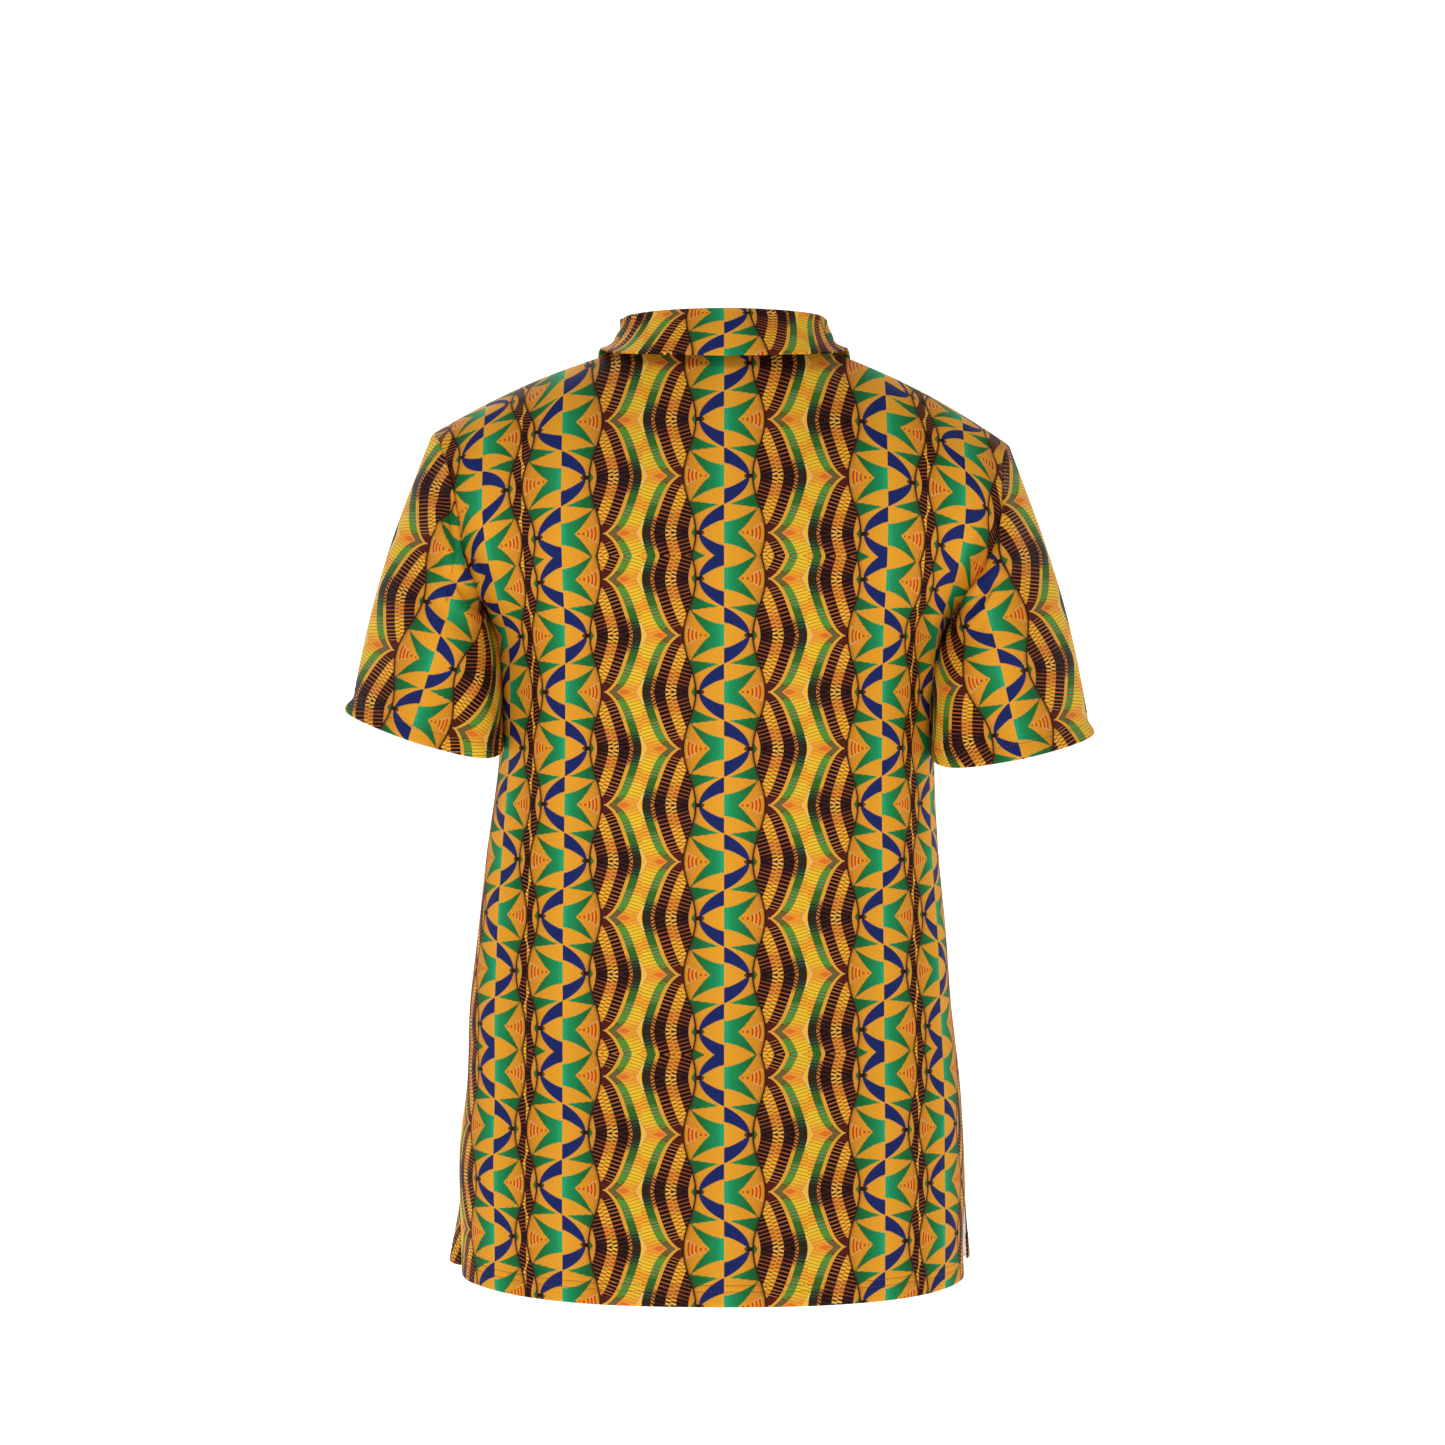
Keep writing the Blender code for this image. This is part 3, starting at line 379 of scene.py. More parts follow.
def clothPlaces(grid, underarmRow, direction):
    # where each point lies on the flat cloth: metres to the right, and up from the underarm level
    rows, columns = grid.shape[:2]
    middle = columns // 2
    steps = np.hypot(np.diff(grid[..., 0], axis=1), np.diff(grid[..., 1], axis=1))
    across = np.concatenate((np.zeros((rows, 1)), np.cumsum(steps, axis=1)), axis=1)
    across -= across[:, middle:middle + 1]
    calmRow = underarmRow + int(printSizes["calmShare"] * (rows - 1 - underarmRow))
    for row in range(calmRow + 1, rows):
        across[row] = np.interp(grid[row, :, 0], grid[calmRow, :, 0], across[calmRow])
        beyond = np.abs(grid[row, :, 0]) - np.abs(np.where(
            grid[row, :, 0] > 0, grid[calmRow, -1, 0], grid[calmRow, 0, 0]))
        across[row] += np.sign(grid[row, :, 0]) * np.maximum(beyond, 0)
    along = alongArc(grid, 0)
    along -= along[underarmRow]
    seen = (grid[..., 2] - camera["target"][2]) / (camera["distance"] - np.abs(grid[..., 1]))
    seen = (seen - seen[underarmRow]) * (camera["distance"] - np.abs(grid[underarmRow, :, 1]))
    sideways = ease((np.abs(grid[..., 0]) - printSizes["sideStart"]) / printSizes["sideSpan"])
    up = np.where(along > 0, seen + (along - seen) * sideways, along) - printSizes["mirrorHeight"]
    outX, outSpan, lowZ, lowSpan = printSizes["lowPlace"]
    low = ease((np.abs(grid[..., 0]) - outX) / outSpan) * ease((lowZ - grid[..., 2]) / lowSpan)
    onLeft = grid[..., 0] > 0
    up = up - low * np.where(onLeft, *printSizes["lowShift"])
    across = across / np.where(onLeft, *printSizes["ease"])
    turned = np.where(onLeft, 0.0, printSizes["turnRight"])
    across += np.sign(across) * turned * (np.abs(across) / printSizes["turnReach"]) ** printSizes["turnPower"]
    return np.stack((direction * across, up), -1)


def clothLift(points):
    # how far the cloth stands off the plain form: listed creases and a soft unevenness
    x, y, z = np.moveaxis(points, -1, 0)
    lift = np.zeros_like(x)
    for side, *line, width, depth in creases:
        nearest, gap = besideCrease(x, z, *line)
        swell = 0.6 + 0.4 * np.sin(np.pi * nearest)
        lift += depth * swell * np.exp(-(gap / width) ** 2) * (np.sign(y) == side)
    hold = ease(np.abs(y) / body["foldFade"])
    rough = np.zeros(x.size)
    for share, scale, offset in cloth["ripples"]:
        places = points.reshape(-1, 3) * scale + offset
        rough += share * np.array([noise.noise(Vector(place)) for place in places])
    return lift * hold + cloth["ripple"] * rough.reshape(x.shape) * hold


def makePiece(name, vertices, faces, cornerPlaces, slots, materials):
    data = bpy.data.meshes.new(name)
    data.from_pydata([tuple(vertex) for vertex in vertices], [], faces)
    data.update()
    layer = data.uv_layers.new(name="cloth")
    layer.data.foreach_set("uv", np.array(cornerPlaces, dtype=np.float32).ravel())
    for material in materials:
        data.materials.append(material)
    data.polygons.foreach_set("material_index", np.asarray(slots, dtype=np.int32))
    data.shade_smooth()
    return addObject(name, data)


def shell(name, outer, inner, places, materials, closed=False, keep=None):
    # one closed thin wall: outer skin printed, inner skin plain, a rounded rim between them;
    # a closed grid wraps round, and its places then have one more column for the print's seam
    rows, columns = outer.shape[:2]
    span = columns if closed else columns - 1
    count = rows * columns
    vertices = list(outer.reshape(-1, 3)) + list(inner.reshape(-1, 3))
    faces = []
    cornerPlaces = []
    slots = []
    edges = {}
    for row in range(rows - 1):
        for column in range(span):
            if keep is not None and not keep(row, column):
                continue
            after = (column + 1) % columns
            a, b = row * columns + column, row * columns + after
            c, d = b + columns, a + columns
            ring = [places[row, column], places[row, column + 1], places[row + 1, column + 1],
                    places[row + 1, column]]
            faces += [(a, b, c, d), (count + d, count + c, count + b, count + a)]
            cornerPlaces += ring + ring[::-1]
            slots += [0, 1]
            corners = (a, b, c, d)
            for index in range(4):
                start, end = corners[index], corners[(index + 1) % 4]
                if (end, start) in edges:
                    del edges[(end, start)]
                else:
                    edges[(start, end)] = (ring[index], ring[(index + 1) % 4])
    a, b, _, d = faces[0]
    through = vertices[a] - vertices[count + a]
    facing = np.sign(np.cross(vertices[b] - vertices[a], vertices[d] - vertices[a]) @ through)
    pushes = {}
    for start, end in edges:
        through = vertices[start] - vertices[count + start]
        out = np.cross(vertices[end] - vertices[start], through)
        size = np.linalg.norm(out)
        if size > 0:
            out *= facing * 0.4 * np.linalg.norm(through) / size
        for place in (start, end):
            pushes.setdefault(place, []).append(out)
    rims = {}
    for place, moves in pushes.items():
        rims[place] = len(vertices)
        vertices.append(0.5 * (vertices[place] + vertices[count + place]) + np.mean(moves, axis=0))
    for (start, end), (startPlace, endPlace) in edges.items():
        faces.append((end, start, rims[start], rims[end]))
        faces.append((rims[end], rims[start], count + start, count + end))
        cornerPlaces += [endPlace, startPlace, startPlace, endPlace] * 2
        slots += [0, 0]
    used = sorted({place for face in faces for place in face})
    renumber = {place: index for index, place in enumerate(used)}
    faces = [tuple(renumber[place] for place in face) for face in faces]
    if facing < 0:
        flipped = []
        place = 0
        for face in faces:
            flipped += cornerPlaces[place:place + 4][::-1]
            place += 4
        faces = [face[::-1] for face in faces]
        cornerPlaces = flipped
    return makePiece(name, [vertices[place] for place in used], faces, cornerPlaces, slots, materials)


def dip(distance, place, depth, width):
    return -depth * np.exp(-((distance - place) / width) ** 2)


def hemForm(distance):
    # outward lift and wall thickness of a turned and twice stitched hem
    inside = 1 - ease((distance - cloth["hemDepth"]) / cloth["hemEase"])
    lift = cloth["hemPuff"] * inside
    for row in cloth["hemRows"]:
        lift = lift + dip(distance, row, cloth["stitchDip"], cloth["stitchDipWidth"])
    lift = lift - cloth["hemPuff"] * ease(1 - distance / cloth["hemEase"])
    return lift, cloth["thickness"] + (cloth["hemThickness"] - cloth["thickness"]) * inside


def meet(first, second):
    # gives two edges that are sewn together the same normals
    shared = unit(first + second)
    first[...] = shared
    second[...] = shared


windowTurn = math.asin(panel["windowHalfWidth"] / body["neckHalfWidth"])
frontFirst = body["neckShare"] * windowTurn / (0.5 * math.pi)


def buildPanelGrids():
    back, underarmRow = panelGrid(1, panelColumns())
    front, _ = panelGrid(-1, panelColumns(frontFirst), frontFirst)
    backNormals = -gridNormals(back)
    frontNormals = gridNormals(front)
    ventRow = int(np.argmin(np.abs(back[:underarmRow, 0, 2] - body["ventTopZ"])))
    outside = panel["outerColumns"]
    for edge in (0, -1):
        meet(backNormals[ventRow:, edge], frontNormals[ventRow:, edge])
    meet(backNormals[-1, :outside + 1], frontNormals[-1, :outside + 1])
    meet(backNormals[-1, -outside - 1:], frontNormals[-1, -outside - 1:])
    return back, front, backNormals, frontNormals, underarmRow, ventRow


sleeve = {
    # outer corner x, y, z and inner corner x, y, z of the hem
    "left": ((0.2963, -0.020, -0.2795), (0.1715, 0.042, -0.3120)),
    "right": ((-0.2916, -0.020, -0.2976), (-0.1610, 0.042, -0.3180)),
    "halfDepth": 0.056, "tuck": -0.0024, "tuckLift": 0.0050, "tuckTurn": 0.5, "tuckStart": 0.45,
    # roundness of the front, the outer back and the inner back
    "squareness": (0.85, 1.50, 0.50), "nestle": 0.50, "backSag": 0.011,
    "capBulge": 0.0075, "capEnd": 0.92, "sideBulge": 0.5,
    # outer corner of the hem
    "flare": {"left": 0.0032, "right": 0.0012}, "flareStart": 0.958, "pinch": 0.0016, "pinchSpan": 0.03,
    "depthEase": 0.13,            # how much of its depth the print takes up on the outer back
    "rows": 104, "hemStart": 0.86, "hemRows": 30, "hemCrowding": 1.25, "stitchRow": 0.0115,
}


def sleeveShares():
    even = np.linspace(0, sleeve["hemStart"], sleeve["rows"])
    left = np.linspace(1, 0, sleeve["hemRows"])[1:] ** sleeve["hemCrowding"]
    return np.concatenate((even, 1 - (1 - sleeve["hemStart"]) * left))


def sleeveGrid(which, loop):
    outer, inner = (np.array(corner) for corner in sleeve[which])
    centre = 0.5 * (outer + inner)
    angle = 2 * np.pi * np.arange(len(loop)) / len(loop)
    deep = np.sin(angle)
    front, outerBack, innerBack = sleeve["squareness"]
    power = np.where(deep <= 0, front, np.where(np.cos(angle) < 0, outerBack, innerBack))
    across = np.sign(np.cos(angle)) * np.abs(np.cos(angle)) ** power
    hem = centre - 0.5 * (outer - inner) * across[:, None]
    hem[:, 1] += sleeve["halfDepth"] * deep
    hem[:, 2] -= sleeve["backSag"] * deep
    loopCentre = loop[::max(1, len(loop) // 20)].mean(axis=0)
    innerSide = np.maximum(np.cos(angle), 0)
    outside = np.maximum(-np.cos(angle), 0) ** 2 + sleeve["sideBulge"] * np.abs(deep)
    turn = np.minimum(angle, 2 * np.pi - angle) / sleeve["tuckTurn"]
    away = math.copysign(1.0, centre[0])
    rows = []
    for share in sleeveShares():
        ring = loop + (hem - loop) * share
        early = share ** (1 - sleeve["nestle"] * innerSide) - share
        ring[:, :2] += (hem - loop)[:, :2] * early[:, None]
        middle = loopCentre + (centre - loopCentre) * share
        swell = sleeve["capBulge"] * math.sin(math.pi * min(share / sleeve["capEnd"], 1.0))
        ring = ring + unit(ring - middle) * (swell * outside)[:, None]
        if share > 0:
            ring[:, 1] += foldShift(ring)
        tuck = math.sin(math.pi * share ** sleeve["tuckStart"]) * np.exp(-turn ** 2)
        ring[:, 0] += away * sleeve["tuck"] * tuck
        ring[:, 2] += sleeve["tuckLift"] * tuck * (1 - share)
        corner = sleeve["flare"][which] * ease((share - sleeve["flareStart"]) / (1 - sleeve["flareStart"]))
        corner -= sleeve["pinch"] * math.exp(-((share - sleeve["flareStart"]) / sleeve["pinchSpan"]) ** 2)
        ring[:, 0] += away * corner * np.maximum(-np.cos(angle), 0) ** 5
        rows.append(ring)
    return np.array(rows)


# where the print's leaf axis runs on the back of each sleeve: its top and hem end, x and z,
# and how high above the hem the star on its right is centred
sleeveGrain = {
    "left": {"top": (0.2013, -0.1716), "hem": (0.2437, -0.3060), "star": 0.0217},
    "right": {"top": (-0.1980, -0.1885), "hem": (-0.2290, -0.3157), "star": 0.0200},
}


def sleevePlaces(which, grid):
    grain = sleeveGrain[which]
    start = np.array((grain["hem"][0], 0.0, grain["hem"][1]))
    along = unit(np.array((grain["top"][0] - start[0], 0.0, grain["top"][1] - start[2])))
    right = np.cross(along, (0.0, 1.0, 0.0))
    right *= -np.sign(right[0])
    closed = np.concatenate((grid, grid[:, :1]), axis=1)
    steps = np.diff(closed, axis=1)
    steps = steps - (steps @ along)[..., None] * along
    quarter = grid.shape[1] // 4
    steps[:, quarter:2 * quarter, 1] *= sleeve["depthEase"]
    run = np.cumsum(np.linalg.norm(steps, axis=2), axis=1)
    around = np.concatenate((np.zeros((len(grid), 1)), run), axis=1)
    offset = (closed - start) @ right
    places = np.zeros(closed.shape[:2] + (2,))
    half = grid.shape[1] // 2
    for row in range(len(grid)):
        side = offset[row, :half + 1]
        cross = int(np.nonzero(np.sign(side[:-1]) != np.sign(side[1:]))[0][0])
        share = side[cross] / (side[cross] - side[cross + 1])
        zero = around[row, cross] + share * (around[row, cross + 1] - around[row, cross])
        sign = np.sign(side[cross + 1] - side[cross])
        places[row, :, 0] = sign * (around[row] - zero)
    places[..., 1] = (closed - start) @ along - grain["star"] + printSizes["mirror"] + printSizes["rise"]
    return places


def armholeLoop(back, front, edge, underarmRow):
    return np.concatenate((back[underarmRow:, edge], front[underarmRow + 1:-1, edge][::-1]))


collar = {
    "foldHalfWidth": 0.0765, "foldBack": (0.056, 0.0286), "foldSideZ": 0.0270,
    "foldFront": (-0.066, -0.031), "foldDipBack": 2.0, "foldDipFront": 1.15, "foldRadius": 0.0026,
    "clearance": 0.0026, "endX": 0.0018, "seamGap": 0.0004, "cloth": 0.0019,
    # how the leaf swells at the back and sinks in at the sides
    "belly": 0.0035, "sideHollow": 0.0110,
    "standRows": 12, "foldTurn": (155, 25, 7), "leafRows": 20,
    "edgeShares": [0.925, 0.95, 0.97, 0.985, 0.995, 1.0],
    "settling": 4, "softness": 2, "settleGain": 1.2, "firstLoose": 19,
    "printDrop": 0.0035, "middleRow": 26, "stitchInset": 0.005,
    # angle round the neck from the centre back, x, y and z of the lower edge
    "edge": [
        (0.0, 0.000, 0.0820, -0.0090),
        (35.0, 0.055, 0.0700, -0.0070),
        (65.0, 0.0870, 0.0360, -0.0030),
        (90.0, 0.0975, -0.0020, 0.0015),
        (112.0, 0.0980, -0.0380, -0.0170),
        (132.0, 0.0870, -0.0680, -0.0410),
        (152.0, 0.0690, -0.0880, -0.0620),
        (168.0, 0.0510, -0.0980, -0.0755),
        (180.0, 0.0380, -0.1020, -0.0820),
    ],
}


def planNormal(angle):
    across = math.sin(angle) / collar["foldHalfWidth"]
    depth = collar["foldBack"][0] if math.cos(angle) >= 0 else -collar["foldFront"][0]
    return unit(np.array((across, math.cos(angle) / depth, 0.0)))


def collarSection(angle, foot, sign):
    # stand, fold and turned-down leaf at one place round the neck
    toward = math.cos(angle)
    reach = abs(toward)
    depth, height = collar["foldBack"] if toward >= 0 else collar["foldFront"]
    power = collar["foldDipBack"] if toward >= 0 else collar["foldDipFront"]
    fold = np.array((collar["foldHalfWidth"] * math.sin(angle), depth * reach,
                     collar["foldSideZ"] + (height - collar["foldSideZ"]) * reach ** power))
    out = planNormal(angle)
    up = np.array((0.0, 0.0, 1.0))
    radius = collar["foldRadius"]
    points = []
    top = fold - (up + out) * radius
    for share in np.linspace(0, 1, collar["standRows"]):
        points.append(foot + (top - foot) * share)
    centre = fold - up * radius
    for turn in np.radians(np.linspace(*collar["foldTurn"])):
        points.append(centre + out * radius * math.cos(turn) + up * radius * math.sin(turn))
    start = centre + out * radius
    degrees = min(math.degrees(abs(angle)), 180.0)
    edge = np.array([float(curveThrough(collar["edge"], column, degrees)) for column in (1, 2, 3)])
    edge[0] *= sign
    swell = collar["belly"] - collar["sideHollow"] * math.sin(angle) ** 2
    middle = 0.5 * (start + edge) + (out + up) * swell
    for share in list(np.linspace(0, 0.9, collar["leafRows"])) + collar["edgeShares"]:
        points.append(start * (1 - share) ** 2 + middle * 2 * share * (1 - share) + edge * share ** 2)
    return np.array(points)


def bodySurface(back, front):
    points = []
    faces = []
    for grid, order in ((back, -1), (front, 1)):
        first = len(points)
        rows, columns = grid.shape[:2]
        points += [Vector(point) for point in grid.reshape(-1, 3)]
        for row in range(rows - 1):
            for column in range(columns - 1):
                start = first + row * columns + column
                faces.append([start, start + 1, start + 1 + columns, start + columns][::order])
    return BVHTree.FromPolygons(points, faces)


def soften(values, width):
    # evens out values over their neighbours along both ways of a grid
    for axis in (0, 1):
        padded = np.concatenate((np.repeat(np.take(values, [0], axis), width, axis), values,
                                 np.repeat(np.take(values, [-1], axis), width, axis)), axis)
        total = np.cumsum(padded, axis=axis)
        zero = np.zeros_like(np.take(total, [0], axis))
        total = np.concatenate((zero, total), axis=axis)
        count = values.shape[axis]
        upper = np.take(total, range(2 * width + 1, 2 * width + 1 + count), axis)
        values = (upper - np.take(total, range(count), axis)) / (2 * width + 1)
    return values


def settle(grid, surface):
    # lifts the turned-down leaf clear of the shoulders, smoothly along it
    first = collar["firstLoose"]
    push = np.zeros(grid.shape)
    for row in range(first, grid.shape[0]):
        for column in range(grid.shape[1]):
            point = Vector(grid[row, column])
            near, out, _, _ = surface.find_nearest(point)
            short = collar["clearance"] - (point - near).dot(out)
            if short > 0:
                push[row, column] = np.array(out) * short
    grid[first:] += soften(push[first:], collar["softness"]) * collar["settleGain"]


def collarGrid(back, front, backNormals, frontNormals, surface):
    neck = panel["neckColumns"]
    middle = back.shape[1] // 2
    frontMiddle = front.shape[1] // 2
    stations = []
    for place in range(middle - neck, middle + neck + 1):
        stations.append((back[-1, place], backNormals[-1, place], back[-2, place]))
    last = frontMiddle - panel["outerColumns"]
    for place in range(last - 1, 0, -1):
        left = (front[-1, frontMiddle + place], frontNormals[-1, frontMiddle + place],
                front[-2, frontMiddle + place])
        right = (front[-1, frontMiddle - place], frontNormals[-1, frontMiddle - place],
                 front[-2, frontMiddle - place])
        if abs(left[0][0]) > 2 * collar["endX"]:
            stations = [right] + stations + [left]
    endAngle = math.pi - math.asin(collar["endX"] / body["neckHalfWidth"])
    end = neckPoint(np.array(endAngle))
    normal = frontNormals[-1, frontMiddle]
    inside = front[-2, frontMiddle]
    stations = [(end * (-1, 1, 1), normal, inside)] + stations + [(end, normal, inside)]
    tangents = unit(np.gradient(np.array([station[0] for station in stations]), axis=0))
    sections = []
    for (point, normal, inside), tangent in zip(stations, tangents):
        sign = 1.0 if point[0] >= 0 else -1.0
        angle = math.asin(min(abs(point[0]) / body["neckHalfWidth"], 1.0))
        if point[1] < -1e-6:
            angle = math.pi - angle
        apart = point - inside
        apart = apart - tangent * (apart @ tangent)
        apart = apart - normal * (apart @ normal)
        foot = point - normal * cloth["halfWall"] + unit(apart) * collar["seamGap"]
        sections.append(collarSection(sign * angle, foot, sign))
    grid = np.array(sections).transpose(1, 0, 2)
    for _ in range(collar["settling"]):
        settle(grid, surface)
    normals = gridNormals(grid)
    if normals[0, len(stations) // 2][1] < 0:
        normals = -normals
    return grid, normals


placket = {
    "halfWidth": 0.016, "cloth": 0.0018, "lowerRows": 6, "rows": 60, "columns": 33,
    # where each strip starts below the neck, and how far its near face stands off the front
    "strips": {"placket_over": (0.008, 0.0003), "placket_under": (0.0048, -0.0036)},
    "buttonHeights": (-0.072, -0.127, -0.182), "stitchColumn": 3,
}


def frontStrip(start):
    xs = np.linspace(-placket["halfWidth"], placket["halfWidth"], placket["columns"])[None, :]
    length = body["underarmZ"] - body["hemZ"][-1]
    u = xs / panel["windowHalfWidth"] * frontFirst
    level = 1 - np.linspace(start, 0, placket["lowerRows"])[:, None] / length
    rise = riseLevel(np.linspace(0, 1, placket["rows"] + 1)[1:])[:, None]
    rise[-1] = 1.0
    grid = np.concatenate((lowerPoints(-1, u, level, xs), upperPoints(-1, u, rise, xs)))
    grid[-1] -= unit(grid[-1] - grid[-2]) * cloth["halfWall"]
    return grid


def tone(red, green, blue):
    values = np.array((red, green, blue)) / 255
    linear = np.where(values <= 0.04045, values / 12.92, ((values + 0.055) / 1.055) ** 2.4)
    return (*[float(value) for value in linear], 1.0)


class Field:
    # a number worked out by the shader, joined up with plain signs
    def __init__(self, tree, socket):
        self.tree = tree
        self.socket = socket

    def math(self, operation, *others, clamp=False):
        node = self.tree.nodes.new("ShaderNodeMath")
        node.operation = operation
        node.use_clamp = clamp
        for place, value in enumerate((self,) + others):
            if isinstance(value, Field):
                self.tree.links.new(value.socket, node.inputs[place])
            else:
                node.inputs[place].default_value = value
        return Field(self.tree, node.outputs[0])

    def __add__(self, other):
        return self.math("ADD", other)

    def __sub__(self, other):
        return self.math("SUBTRACT", other)

    def __rsub__(self, other):
        return self.math("MULTIPLY_ADD", -1.0, other)

    def __mul__(self, other):
        return self.math("MULTIPLY", other)

    def __pow__(self, other):
        return self.math("POWER", other)

    def __abs__(self):
        return self.math("ABSOLUTE")

    def fit(self, gain, shift):
        return self.math("MULTIPLY_ADD", gain, shift)

    def most(self, other):
        return self.math("MAXIMUM", other)

    def least(self, other):
        return self.math("MINIMUM", other)

    def mask(self, width=0.004):
        # 1 where the number is above zero, with a narrow soft edge
        return self.math("MULTIPLY_ADD", 1 / width, 0.5, clamp=True)

    __radd__ = __add__
    __rmul__ = __mul__


def blend(tree, factor, first, second):
    node = tree.nodes.new("ShaderNodeMix")
    node.data_type = "RGBA"
    for place, value in ((0, factor), (6, first), (7, second)):
        if isinstance(value, Field):
            tree.links.new(value.socket, node.inputs[place])
        elif isinstance(value, bpy.types.NodeSocket):
            tree.links.new(value, node.inputs[place])
        else:
            node.inputs[place].default_value = value
    return node.outputs[2]


def ramp(tree, field, stops, smooth=False):
    # each stop is a place and its colour
    node = tree.nodes.new("ShaderNodeValToRGB")
    node.color_ramp.interpolation = "LINEAR" if smooth else "CONSTANT"
    elements = node.color_ramp.elements
    while len(elements) < len(stops):
        elements.new(0.5)
    for element, (place, *colour) in zip(elements, stops):
        element.position = place
        element.color = tone(*colour)
    tree.links.new(field.socket, node.inputs[0])
    return node.outputs[0]


def newGroup(name, inputs, outputs):
    tree = bpy.data.node_groups.new(name, "ShaderNodeTree")
    for label, kind in inputs:
        tree.interface.new_socket(label, in_out="INPUT", socket_type=kind)
    for label, kind in outputs:
        tree.interface.new_socket(label, in_out="OUTPUT", socket_type=kind)
    entry = tree.nodes.new("NodeGroupInput")
    leave = tree.nodes.new("NodeGroupOutput")
    return tree, entry, leave


# the print: woven strips between leaf strips, all from two folded coordinates

printSizes = {
    "repeat": 0.125,            # metres from one leaf axis to the next across a wide woven strip
    "narrow": 0.2508,           # half the narrow gap, in repeats
    "rise": 0.0860,             # metres from one star to the next up the cloth
    "aspect": 0.7116,           # rise against repeat as the shapes were charted
    "mirror": 0.0174,           # how far the first star lies from the mirrored row
    "mirrorHeight": 0.058,      # height of the mirrored row above the underarm
    "mirrorSpan": 0.3788,       # how far below it the next mirrored row runs
    "ease": (1.006, 1.024),     # how much wider it lies on the left and on the right
    "calmShare": 0.55,          # share of the way up past which its columns run straight
    # the print creeps round the right side
    "turnRight": 0.0049, "turnReach": 0.19, "turnPower": 2.7,
    # where the print's height follows the cloth's own run
    "sideStart": 0.122, "sideSpan": 0.032,
    # how much higher it sits at the hem's left and right, and where: out from x, over, below z, over
    "lowShift": (0.0042, 0.0020), "lowPlace": (0.08, 0.08, -0.60, 0.10),
    "slant": 0.31,              # how far the woven strip's rungs fall as they run across
    "snap": 160,                # steps a repeat in the leaf shapes' stepped edges
    "starTip": 0.082,           # how far from the leaf axis the star's tip lies
    "edge": 0.208, "edgeWave": 0.037, "outline": 0.0046,       # the leaf strip's wavy edge
    "shade": (50.0, 0.65), "wideShade": (24.0, 0.38),          # how narrow and how strong its shadows are
    # radii of the bands, in repeats
    "bands": (0.269, 0.343, 0.409, 0.4765, 0.499, 0.552),
    # turns of the rungs for each unit along the weft: brown, black, green and middle bands
    "rungs": (39.5, 35.0, 45.0, 44.0),
}

printColours = {
    "amber": (228, 152, 36), "red": (190, 62, 32), "pale": (222, 202, 160), "navy": (26, 38, 98),
    "black": (34, 18, 16), "maroon": (84, 27, 21), "brightGreen": (40, 170, 118),
    "orange": (225, 112, 40), "brown": (56, 26, 14), "shadow": (60, 34, 12),
    "seam": (214, 142, 44), "strip": (232, 166, 46), "stripLine": (220, 124, 38),
    "dashDark": (52, 24, 20), "dashLight": (206, 120, 42), "plain": (246, 182, 48),
    "fan": (214, 140, 44), "fanLeaf": (50, 108, 42),
}

# how the colours change over each motif: place along it, red, green and blue
printRamps = {
    "ground": [(0.0, 234, 163, 42), (0.45, 226, 152, 38), (0.95, 204, 128, 34)],
    "star": [(0.0, 36, 160, 110), (0.20, 28, 140, 84), (0.55, 24, 108, 54), (0.8, 20, 92, 44)],
    # the gaps and the rungs of each woven band
    "brownGap": [(0.0, 165, 84, 36), (0.84, 158, 78, 35), (0.94, 74, 27, 22)],
    "brownRung": [(0.0, 12, 12, 16), (0.6, 14, 11, 14), (0.9, 30, 13, 13)],
    "yellowGap": [(0.20, 226, 150, 42), (0.27, 238, 192, 46), (0.58, 236, 186, 46),
                  (0.68, 218, 140, 44), (0.86, 224, 146, 46), (0.92, 240, 178, 68)],
    "yellowRung": [(0.20, 208, 120, 38), (0.30, 184, 90, 34), (0.80, 170, 80, 32), (0.90, 58, 22, 20)],
    "blackGap": [(0.08, 182, 144, 66), (0.14, 206, 116, 52), (0.50, 196, 102, 44),
                 (0.74, 160, 70, 34), (0.86, 74, 27, 22)],
    "blackRung": [(0.0, 12, 12, 16), (0.6, 14, 11, 14), (0.9, 26, 12, 12)],
    "greenGap": [(0.10, 108, 94, 52), (0.13, 122, 132, 34), (0.17, 90, 144, 54), (0.29, 84, 142, 54),
                 (0.33, 50, 166, 92), (0.47, 48, 158, 84), (0.54, 46, 112, 40), (0.68, 48, 108, 40),
                 (0.76, 56, 90, 56), (0.92, 46, 42, 28)],
    "greenRung": [(0.10, 108, 94, 52), (0.13, 44, 66, 24), (0.17, 88, 142, 54), (0.29, 86, 138, 52),
                  (0.33, 134, 86, 34), (0.47, 120, 84, 34), (0.54, 58, 96, 32), (0.68, 62, 92, 34),
                  (0.76, 34, 50, 30), (0.92, 38, 28, 22)],
    "middleGap": [(0.06, 234, 156, 44), (0.20, 236, 196, 46), (0.38, 236, 200, 46),
                  (0.46, 242, 168, 42), (0.64, 240, 166, 42), (0.74, 242, 200, 58), (0.88, 246, 184, 48)],
    "middleRung": [(0.06, 222, 130, 42), (0.20, 196, 98, 36), (0.46, 184, 88, 34),
                   (0.66, 180, 84, 34), (0.76, 92, 30, 24), (0.88, 240, 172, 46)],
}

# where the star's arcs start and end, five times their distance from its tip
arcPlaces = (0.12, 0.17, 0.250, 0.325, 0.404, 0.460, 0.524, 0.580, 0.636, 0.692)


